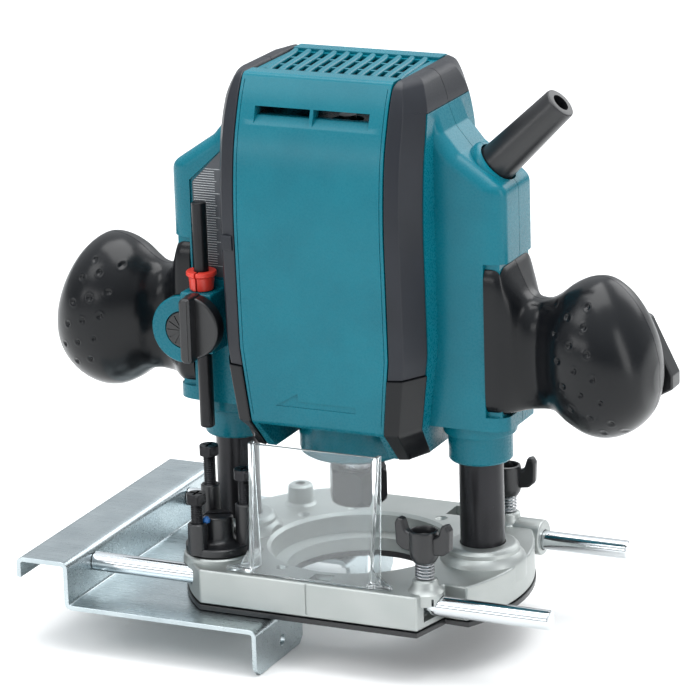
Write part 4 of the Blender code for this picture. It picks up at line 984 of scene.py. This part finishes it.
def make_strips():
    roll = 3.0
    for x_sign, x_word in ((-1, "left"), (1, "right")):
        for y_sign, y_word in ((-1, "front"), (1, "rear")):
            strip = loft(f"corner_cover_{y_word}_{x_word}",
                         flipped([strip_plan(z) for z in heights(PAD_TOP + GAP, CAP_LOWER + 1.0, 3.0)],
                                 x_sign, y_sign))
            levels = [(z, 0.0) for z in heights(CAP_LOWER, TOP - roll, 2.0)]
            levels += [(TOP - roll + roll * math.sin(t), roll * (1 - math.cos(t)))
                       for t in (math.radians(a) for a in range(15, 91, 15))]
            cap = loft("cap", flipped([cap_plan(*level) for level in levels], x_sign, y_sign))
            room = loft("cap_room",
                        [trunk_plan(z, STRIP_THICK) for z in heights(CAP_LOWER - 2, TOP - 2.9, 2.0)])
            cut(cap, room)
            join(strip, cap)
            if (x_sign, y_sign) == (-1, -1):
                join(strip,
                     loft("step", [[(-37.6, -trunk_at(z)[0] - out, z), (-33.2, -trunk_at(z)[0] - out, z),
                                           (-33.2, -trunk_at(z)[0] + 1.5, z),
                                           (-37.6, -trunk_at(z)[0] + 1.5, z)]
                                          for z,
                                          out in ((147.6, 0.1), (148.2, 0.5), (153.0, 0.5), (153.6, 0.1))]))
            clean(strip, 0.01)
            settle(strip, CHARCOAL, "motor_unit", (f"corner_strip_{y_word}_{x_word}",),
                   smooth=36)
            pad = loft(f"corner_bumper_{y_word}_{x_word}",
                       flipped([strip_plan(z, 0.8) for z in heights(LEG_BOTTOM, PAD_TOP, 3.0)], x_sign,
                               y_sign))
            soften(pad, 0.5, 2, 60)
            if (x_sign, y_sign) == (-1, -1):
                spot = (TURRET_X + STOP_CIRCLE * math.cos(math.radians(10)),
                        TURRET_Y + STOP_CIRCLE * math.sin(math.radians(10)))
                cut(pad, rod("pad_relief", spot, 5.3, 50, 96.3, count=48))
            settle(pad, RUBBER, "motor_unit", (f"corner_pad_{y_word}_{x_word}",), smooth=36)


def make_grille():
    """A sunk frame and cross bars in the top, with rows of slanting louvre bars standing on them."""
    depth = low("top_grille", 1)
    edge = high("top_grille", 1)
    plate = block("louvre_frame", (-PANEL_HALF, depth, TOP - 3.0), (PANEL_HALF, edge, TOP - 1.2))
    cut(plate, block("front_gap", (-29, depth + 2.2, TOP - 9), (29, -6.4, TOP + 3)),
        block("middle_gap", (-29, -4.6, TOP - 9), (29, 6.0, TOP + 3)),
        block("rear_gap", (-29, 7.8, TOP - 9), (29, edge - 2.2, TOP + 3)))
    settle(plate, TEAL, "motor_unit", ("top_grille",))
    # A thin dark sheet under the louvre bars: painted shade standing in for the dark inside of the casing
    # seen through the grille
    shade_sheet = block("dust_gauze", (-26, depth + 3, TOP - 6.0), (26, edge - 3, TOP - 5.4))
    settle(shade_sheet, NYLON, "motor_unit")
    tree = Tree("louvre_bars", {"Bars": 11, "Pitch": 5.65 * MM, "Slant": 2.2 * MM, "Depth": (edge - 0.4) * MM,
                                "Half Width": 1.5 * MM})
    span = tree.maths("MULTIPLY", tree.maths("SUBTRACT", tree.given["Bars"], 1), tree.given["Pitch"])
    start = tree.add("ShaderNodeCombineXYZ", None, {"X": tree.maths("MULTIPLY", span, -0.5)})
    step = tree.add("ShaderNodeCombineXYZ", None, {"X": tree.given["Pitch"]})
    places = tree.add("GeometryNodeMeshLine", {"mode": "OFFSET"},
                      {"Count": tree.given["Bars"], "Start Location": start.outputs[0],
                       "Offset": step.outputs[0]})
    near = tree.add("ShaderNodeCombineXYZ", None, {"X": tree.given["Slant"],
                                                   "Y": tree.maths("MULTIPLY", tree.given["Depth"], -1.0)})
    far = tree.add("ShaderNodeCombineXYZ", None, {"X": tree.maths("MULTIPLY", tree.given["Slant"], -1.0),
                                                  "Y": tree.given["Depth"]})
    bend_near = tree.add("ShaderNodeCombineXYZ", None,
                         {"X": tree.maths("MULTIPLY", tree.given["Slant"], -0.2),
                                                        "Y": tree.maths("MULTIPLY", tree.given["Depth"],
                                                                        -0.2)})
    bend_far = tree.add("ShaderNodeCombineXYZ", None, {"X": tree.maths("MULTIPLY", tree.given["Slant"], 0.2),
                                                       "Y": tree.maths("MULTIPLY", tree.given["Depth"], 0.2)})
    line = tree.add("GeometryNodeCurvePrimitiveBezierSegment", {"Resolution": 12},
                    {"Start": near.outputs[0], "Start Handle": bend_near.outputs[0],
                     "End Handle": bend_far.outputs[0], "End": far.outputs[0]})
    profile = tree.add("GeometryNodeCurvePrimitiveCircle", {"Resolution": 12},
                       {"Radius": tree.given["Half Width"]})
    bar = tree.add("GeometryNodeCurveToMesh", {"Fill Caps": True},
                   {"Curve": line.outputs[0], "Profile Curve": profile.outputs[0]})
    bars = tree.add("GeometryNodeInstanceOnPoints", None,
                    {"Points": places.outputs[0], "Instance": bar.outputs[0]})
    made = tree.grow("louvre_bars", bars.outputs[0], TEAL)
    for vert in made.data.vertices:
        vert.co.z = vert.co.z * 0.95 + at(0, 0, TOP - 1.5).z
    settle(made, TEAL, "motor_unit", smooth=60, weigh=False)


def make_scale():
    plate = sweep("scale_plate", scale_plan(), "y", -WING_HALF + 0.3, -WING_HALF + 0.9)
    settle(plate, PLATE, "motor_unit", ("depth_scale",))
    zero, left, cut_z = 133.5, -61.2, 168.0
    tree = Tree("scale_ticks", {"Ticks": 41, "Left": left * MM, "Short": -51.7 * MM, "Long": -48.9 * MM,
                                "Zero": (at(0, 0, zero).z), "Bend": (at(0, 0, cut_z).z), "Pitch": 1.0 * MM})
    number = tree.add("GeometryNodeInputIndex").outputs[0]
    height = tree.maths("ADD", tree.given["Zero"], tree.maths("MULTIPLY", number, tree.given["Pitch"]))
    tens = tree.maths("LESS_THAN", tree.maths("MODULO", number, 10.0), 0.5)
    fives = tree.maths("LESS_THAN", tree.maths("MODULO", number, 5.0), 0.5)
    reach = tree.maths("SUBTRACT", tree.given["Long"], tree.given["Short"])
    right = tree.maths("ADD", tree.given["Short"], tree.maths("MULTIPLY", reach, tree.maths(
        "MAXIMUM", tens, tree.maths("MULTIPLY", fives, 0.3))))
    start = tree.maths("ADD", tree.given["Left"], tree.maths("MAXIMUM", 0.0, tree.maths(
        "SUBTRACT", height, tree.given["Bend"])))
    length = tree.maths("SUBTRACT", right, start)
    middle = tree.maths("MULTIPLY", tree.maths("ADD", right, start), 0.5)
    line = tree.add("GeometryNodeMeshLine", None, {"Count": tree.given["Ticks"]})
    spot = tree.add("ShaderNodeCombineXYZ", {"Y": (-WING_HALF + 0.28) * MM}, {"X": middle, "Z": height})
    moved = tree.add("GeometryNodeSetPosition", None,
                     {"Geometry": line.outputs[0], "Position": spot.outputs[0]})
    mark = tree.add("GeometryNodeMeshCube", {"Size": (1.0, 0.06 * MM, 0.17 * MM)})
    size = tree.add("ShaderNodeCombineXYZ", {"Y": 1.0, "Z": 1.0}, {"X": length})
    marks = tree.add("GeometryNodeInstanceOnPoints", None,
                     {"Points": moved.outputs[0], "Instance": mark.outputs[0],
                                                            "Scale": size.outputs[0]})
    ticks = tree.grow("scale_ticks", marks.outputs[0], INK)
    settle(ticks, INK, "motor_unit", weigh=False)
    digits = []
    for value in range(4):
        text = bpy.data.curves.new(f"digit_{value}", "FONT")
        text.body = str(value)
        text.size = 4.2 * MM
        text.extrude = 0.03 * MM
        text.align_x = "CENTER"
        shown = put(f"digit_{value}", text)
        shown.matrix_world = Matrix.Translation(at(-48.1, -WING_HALF + 0.28, zero + value * 10 + 0.6)) \
            @ Matrix.Rotation(math.radians(90), 4, "X")
        bpy.context.view_layer.update()
        digits.append(bake(shown))
    settle(merged("scale_numbers", *digits), INK, "motor_unit", weigh=False)


def make_depth_stop():
    top, foot = high("stopper_pole", 2), low("stopper_pole", 2)
    pole = turned("stop_pole", ((0, top), (2.4, top), (2.85, top - 0.25), (3.0, top - 0.7), (3.0, foot + 0.6),
                                (2.5, foot), (0, foot)), (POLE_X, POLE_Y, 0))
    settle(pole, OXIDE, "stopper_pole", ("stopper_pole",))
    foot, head = low("depth_pointer", 2), high("depth_pointer", 2)
    clip = turned("pointer_clip",
                  ((3.1, head), (5.9, head), (6.2, head - 0.4), (6.2, head - 1.5), (5.2, head - 2.4),
                                   (4.9, foot + 0.4), (4.6, foot), (3.1, foot)), (POLE_X, POLE_Y, 0))
    cut(clip, block("slit", (POLE_X - 0.35, POLE_Y - 9, foot - 1), (POLE_X + 0.35, POLE_Y, head + 1)))
    soften(clip, 0.15, 2, 60)
    settle(clip, RED, "depth_pointer", ("depth_pointer",))
    front = high("pole_clamp_knob", 1)
    face = POLE_Y - 6.9
    disc = rod("clamp_knob", (POLE_X, KNOB_Z), 13.0, face - 6.5, face, "y", 96)
    cut(disc,
        block("knob_side", (POLE_X - 20, face - 20, KNOB_Z - 20), (POLE_X - 1.7, face + 5, KNOB_Z + 20)))
    soften(disc, 1.1, 4, 50)
    fin = sweep("fin", rounded([(POLE_X - 1.8, KNOB_Z - 13.4), (POLE_X + 3.2, KNOB_Z - 13.4),
                                (POLE_X + 3.2, KNOB_Z + 13.4), (POLE_X - 1.8, KNOB_Z + 13.4)],
                               [2.4, 1.2, 1.2, 2.4]), "y",
                face - 11.5, face - 0.2)
    soften(fin, 1.2, 4, 50)
    stem = rod("stem", (POLE_X, KNOB_Z), 2.5, face - 1, min(front, POLE_Y - 3.3), "y", 32)
    join(disc, fin, stem)
    settle(disc, NYLON, "pole_clamp_knob", ("pole_clamp_knob",))
    button = rod("boss_disc", ROUND_BOSS, 7.5, BOSS_FRONT - 0.4, BOSS_FRONT + 1.5, "y", 72)
    soften(button, 0.6, 3)
    for turn in range(0, 180, 30):
        mark = block("disc_rib", (-6.6, -1, -0.25), (6.6, 0.25, 0.25))
        mark.data.transform(Matrix.Translation(at(ROUND_BOSS[0], BOSS_FRONT - 0.3, ROUND_BOSS[1]))
                            @ Matrix.Rotation(math.radians(turn), 4, "Y") @ Matrix.Translation(-at(0, 0, 0)))
        cut(button, mark)
    settle(button, NYLON, "motor_unit")


# ---------------------------------------------------------------- grips

def grip_dimples(side):
    """(distance out, height) of each dimple: slanting rows of three, which the left grip has further out."""
    start, drift = (94.3, 2.4) if side > 0 else (99.3, 3.1)
    spots = [(start + drift * k + 7.7 * j, 119.7 - 9.7 * k - 2.5 * j) for k in range(-1, 4) for j in range(3)]
    spots += [(107.2, 131.3), (start + 18.3, 80.4)]
    if side > 0:
        spots += [(119.8, 80.6)]
    return [(x, z) for x, z in spots if x < 123.5]


def grip_surface(side, y_sign):
    """Rows of points over one half of a grip, with its dimples pressed in."""
    levels = list(np.linspace(ROOT_START, 90, 32)) + list(np.linspace(90.5, 127.5,
                                                                      84 if y_sign < 0 else 40)) \
        + list(np.linspace(127.9, GRIP[-1][0], 10))
    around = np.radians(np.linspace(-90, 90, 201 if y_sign < 0 else 81))
    spots = grip_dimples(side) if y_sign < 0 else []
    rows = []
    for x in levels:
        _, bottom, head, front, rear, square = between(GRIP, x)
        reach = front if y_sign < 0 else rear
        end = max(0.0, (x - 127.5) / (GRIP[-1][0] - 127.5))
        reach, tall = reach * (1 - 0.25 * end**3), (head - bottom) / 2 * (1 - 0.25 * end**3)
        row = []
        for angle in around:
            c, s = math.cos(angle), math.sin(angle)
            y = reach * abs(c) ** (2 / square)
            z = (head + bottom) / 2 + tall * math.copysign(abs(s) ** (2 / square), s)
            for spot_x, spot_z in spots:
                away = math.hypot(x - spot_x, z - spot_z)
                if away < 2 * DIMPLE_RADIUS and y > 5:
                    t = away / DIMPLE_RADIUS
                    rim = 0.12 * math.exp(-((t - 1.15) / 0.22) ** 2)
                    y -= DIMPLE_DEPTH * math.exp(-(t / 0.62) ** 4) - rim
            row.append((side * x, y_sign * max(y, 0) + y_sign * GAP / 2, z))
        rows.append(row)
    return rows


def make_grips():
    for side, x_word in ((-1, "left"), (1, "right")):
        for y_sign, y_word in ((-1, "front"), (1, "rear")):
            grip = loft(f"moulded_grip_{y_word}_{x_word}", grip_surface(side, y_sign))
            span = sorted((side * 50, side * (CORE_END + GAP)))
            cut(grip, block("core_room", (span[0], -CORE_HALF - GAP, 70), (span[1], CORE_HALF + GAP, 160)))
            if y_sign < 0 and side < 0:
                cut(grip, rod("boss_room", ROUND_BOSS, 14.3, -40, -13.2, "y", 96))
            if y_sign > 0 and side > 0:
                cut(grip, sweep("trigger_pocket", trigger_plan(0.6), "y", 9, 40),
                    rod("button_pocket", (84.5, 112), 3.9, 5.5, 30, "y", 48))
            settle(grip, RUBBER if y_sign < 0 else NYLON, "motor_unit",
                   (f"grip_{y_word}_{x_word}",), smooth=40,
                   weigh=False)


def trigger_plan(grow=0.0):
    return rounded([(106 - grow, 116 + grow), (115 - grow, 121 + grow), (120 + grow, 119 + grow),
                    (131 + grow, 97),
                    (131 + grow, 91.5 - grow), (124, 87.5 - grow), (112 - grow, 86 - grow), (106 - grow, 94)],
                   1.6)


def make_controls():
    trigger = sweep("trigger", trigger_plan(), "y", 12.4, 21.6)
    soften(trigger, 0.9, 3, 50)
    settle(trigger, NYLON, "switch_trigger", ("switch_trigger",))
    button = turned("lock_button", ((0, 9.6), (2.4, 9.6), (3.2, 9.2), (3.5, 8.4), (3.5, 0), (0, 0)),
                    (84.5, 7.8, 112),
                    axis=(0, 1, 0), sides=48)
    settle(button, NYLON, "lock_on_button", ("lock_on_button",))
    plan = rounded([(-57, 115), (-62, 119), (-68, 117), (-84, 104), (-104, 86), (-108, 79), (-104, 76),
                    (-97, 80),
                    (-78, 95), (-62, 105), (-57, 108)], 2.2)
    lever = sweep("lock_lever", plan, "y", 21.5, 26.0)
    soften(lever, 1.1, 4, 50)
    join(lever, rod("hub", (-59.5, 112), 7, WING_HALF + 0.8, 22.5, "y", 64),
         rod("stem", (-59.5, 112), 3, 9, 20, "y", 48))
    settle(lever, NYLON, "plunge_lock_lever", ("plunge_lock_lever",))


def make_cord_guard():
    guard = turned("strain_relief",
                   ((3.7, 48), (6.0, 48), (6.5, 47.7), (6.7, 47.0), (7.0, 38), (7.9, 14), (8.3, 9),
                                     (8.4, 4.4), (8.6, 3.8), (9.6, 3.7), (10, 3.2), (10, 0), (3.7, 0)),
                   cord_point(-7.5), axis=cord_axis(), sides=72)
    settle(guard, NYLON, "motor_unit", ("cord_guard",))


def make_casing_screws():
    """Socket-headed screws deep in the back of the casing, one for each counterbore."""
    points = bpy.data.meshes.new("screw_places")
    points.from_pydata([tuple(at(x, 14.0, z)) for x, z in CASING_SCREWS], [], [])
    tree = Tree("screw_heads", {"Head": 3.3 * MM, "Height": 2.2 * MM, "Socket": 1.7 * MM})
    head = tree.add("GeometryNodeMeshCylinder", {"Vertices": 32}, {"Radius": tree.given["Head"],
                                                                  "Depth": tree.given["Height"]})
    socket = tree.add("GeometryNodeMeshCylinder", {"Vertices": 6}, {"Radius": tree.given["Socket"],
                                                                   "Depth": tree.given["Height"]})
    raised = tree.add("ShaderNodeCombineXYZ", None, {"Z": tree.maths("MULTIPLY", tree.given["Height"], 0.4)})
    lifted = tree.add("GeometryNodeTransform", None,
                      {"Geometry": socket.outputs[0], "Translation": raised.outputs[0]})
    cutout = tree.add("GeometryNodeMeshBoolean", {"operation": "DIFFERENCE"}, {0: head.outputs[0]})
    tree.group.links.new(lifted.outputs[0], cutout.inputs[1])
    where = tree.add("GeometryNodeObjectInfo", {"Object": put("screw_places", points)})
    placed = tree.add("GeometryNodeInstanceOnPoints", {"Rotation": (math.radians(-90), 0, 0)},
                      {"Points": where.outputs["Geometry"], "Instance": cutout.outputs[0]})
    made = tree.grow("casing_screws", placed.outputs[0], OXIDE)
    bpy.data.objects.remove(bpy.data.objects["screw_places"])
    settle(made, OXIDE, "motor_unit", smooth=30, weigh=False)


def make_collet():
    nut_low, nut_high = low("collet_nut", 2) + 4.6, high("collet_nut", 2)
    nut = sweep("clamping_nut", circle(0, 0, 22.0 / math.sqrt(3), count=6), "z", nut_low, nut_high)
    keep(nut,
         turned("nut_round", ((0, nut_high), (11.2, nut_high), (12.0, nut_high - 0.7), (12.9, nut_high - 2.0),
                                   (12.9, nut_low + 4), (11.6, nut_low + 1.2), (10.4, nut_low), (0, nut_low)),
                     (0, 0, 0), sides=96))
    cut(nut,
        turned("nut_bore", ((0, nut_high + 1), (7.0, nut_high + 1), (7.0, 36), (5.2, 33), (5.2, 20), (0, 20)),
                    (0, 0, 0), sides=64))
    clean(nut, 0.01)
    soften(nut, 0.3, 2, 25)
    settle(nut, OXIDE, "spindle", ("collet_nut",))
    jaws = turned("collet_jaws",
                  ((4.0, nut_high - 0.5), (5.4, nut_high - 0.5), (6.7, nut_high - 3), (6.7, nut_low + 4),
                                  (4.9, nut_low + 2), (4.9, nut_low - 0.4), (4.0, nut_low - 0.4)), (0, 0, 0))
    settle(jaws, STEEL, "spindle", ("collet_cone",))


# ---------------------------------------------------------------- studio

def make_studio():
    floor = block("floor", (-FLOOR_HALF, -FLOOR_HALF, -FLOOR_THICK), (FLOOR_HALF, FLOOR_HALF, 0))
    floor.data.transform(Matrix.Translation((0, 0, -SOLE - FLOOR_CLEARANCE)))
    floor.data.materials.append(FLOOR)
    bpy.context.scene.view_settings.view_transform = "Standard"
    world = bpy.data.worlds.new("studio")
    bpy.context.scene.world = world
    world.use_nodes = True
    tree = world.node_tree
    tree.nodes.clear()
    # A dim surround that brightens overhead lights the object, while the backdrop itself shows white
    place = add(tree, "ShaderNodeTexCoord")
    height = add(tree, "ShaderNodeSeparateXYZ", None, {"Vector": place.outputs["Generated"]})
    ramp = add(tree, "ShaderNodeMapRange", {"From Min": 0.05, "From Max": 0.9, "To Min": 0.45, "To Max": 1.5},
               {"Value": height.outputs["Z"]})
    surround = add(tree, "ShaderNodeBackground", {"Color": colour("#f2f6fa")},
                   {"Strength": ramp.outputs["Result"]})
    backdrop = add(tree, "ShaderNodeBackground", {"Color": colour("#ffffff"), "Strength": 1.0})
    seen = add(tree, "ShaderNodeLightPath")
    mixed = add(tree, "ShaderNodeMixShader", None, {0: seen.outputs["Is Camera Ray"], 1: surround.outputs[0],
                                                    2: backdrop.outputs[0]})
    add(tree, "ShaderNodeOutputWorld", None, {"Surface": mixed.outputs[0]})
    lamps = (("key", (-0.75, -0.95, 1.25), (0.7, 0.7), 5.5),
             ("strip", (-0.66, -1.38, 0.42), (1.1, 0.22), 3.4),
             ("side", (1.35, -0.35, 0.45), (0.35, 0.9), 4.0), ("top", (0.1, 0.15, 1.5), (1.4, 1.2), 24.0),
             ("back", (0.5, 1.3, 0.8), (0.8, 0.8), 5.0))
    for name, spot, size, power in lamps:
        data = bpy.data.lights.new(name, "AREA")
        data.shape = "RECTANGLE"
        data.size, data.size_y = size
        data.energy = power
        lamp = put(name, data)
        lamp.location = spot
        lamp.rotation_euler = (Vector(LAMP_AIM) - Vector(spot)).to_track_quat("-Z", "Y").to_euler()


def make_camera():
    turn, lift, roll = (math.radians(v) for v in (CAMERA_TURN, CAMERA_LIFT, CAMERA_ROLL))
    back = Vector((math.sin(turn) * math.cos(lift), -math.cos(turn) * math.cos(lift), math.sin(lift)))
    right = Vector((math.cos(turn), math.sin(turn), 0))
    up = back.cross(right)
    side = right * math.cos(roll) - up * math.sin(roll)
    head = up * math.cos(roll) + right * math.sin(roll)
    data = bpy.data.cameras.new("camera")
    data.lens = CAMERA_LENS
    data.sensor_width = CAMERA_SENSOR
    camera = put("camera", data)
    place = at(*CAMERA_AIM) + back * CAMERA_AWAY
    camera.matrix_world = Matrix((
        (side.x, head.x, back.x, place.x), (side.y, head.y, back.y, place.y),
        (side.z, head.z, back.z, place.z), (0, 0, 0, 1)))
    bpy.context.scene.camera = camera


make_camera()
make_base()
make_columns()
make_wing_bolts()
make_turret()
make_guide()
make_shield()
make_casing()
make_panels()
make_strips()
make_grille()
make_scale()
make_depth_stop()
make_grips()
make_controls()
make_cord_guard()
make_casing_screws()
make_collet()
for material, nodes in KEPT.items():
    for node in nodes:
        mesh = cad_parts[node].data
        mesh.materials.clear()
        mesh.materials.append(material)
make_studio()
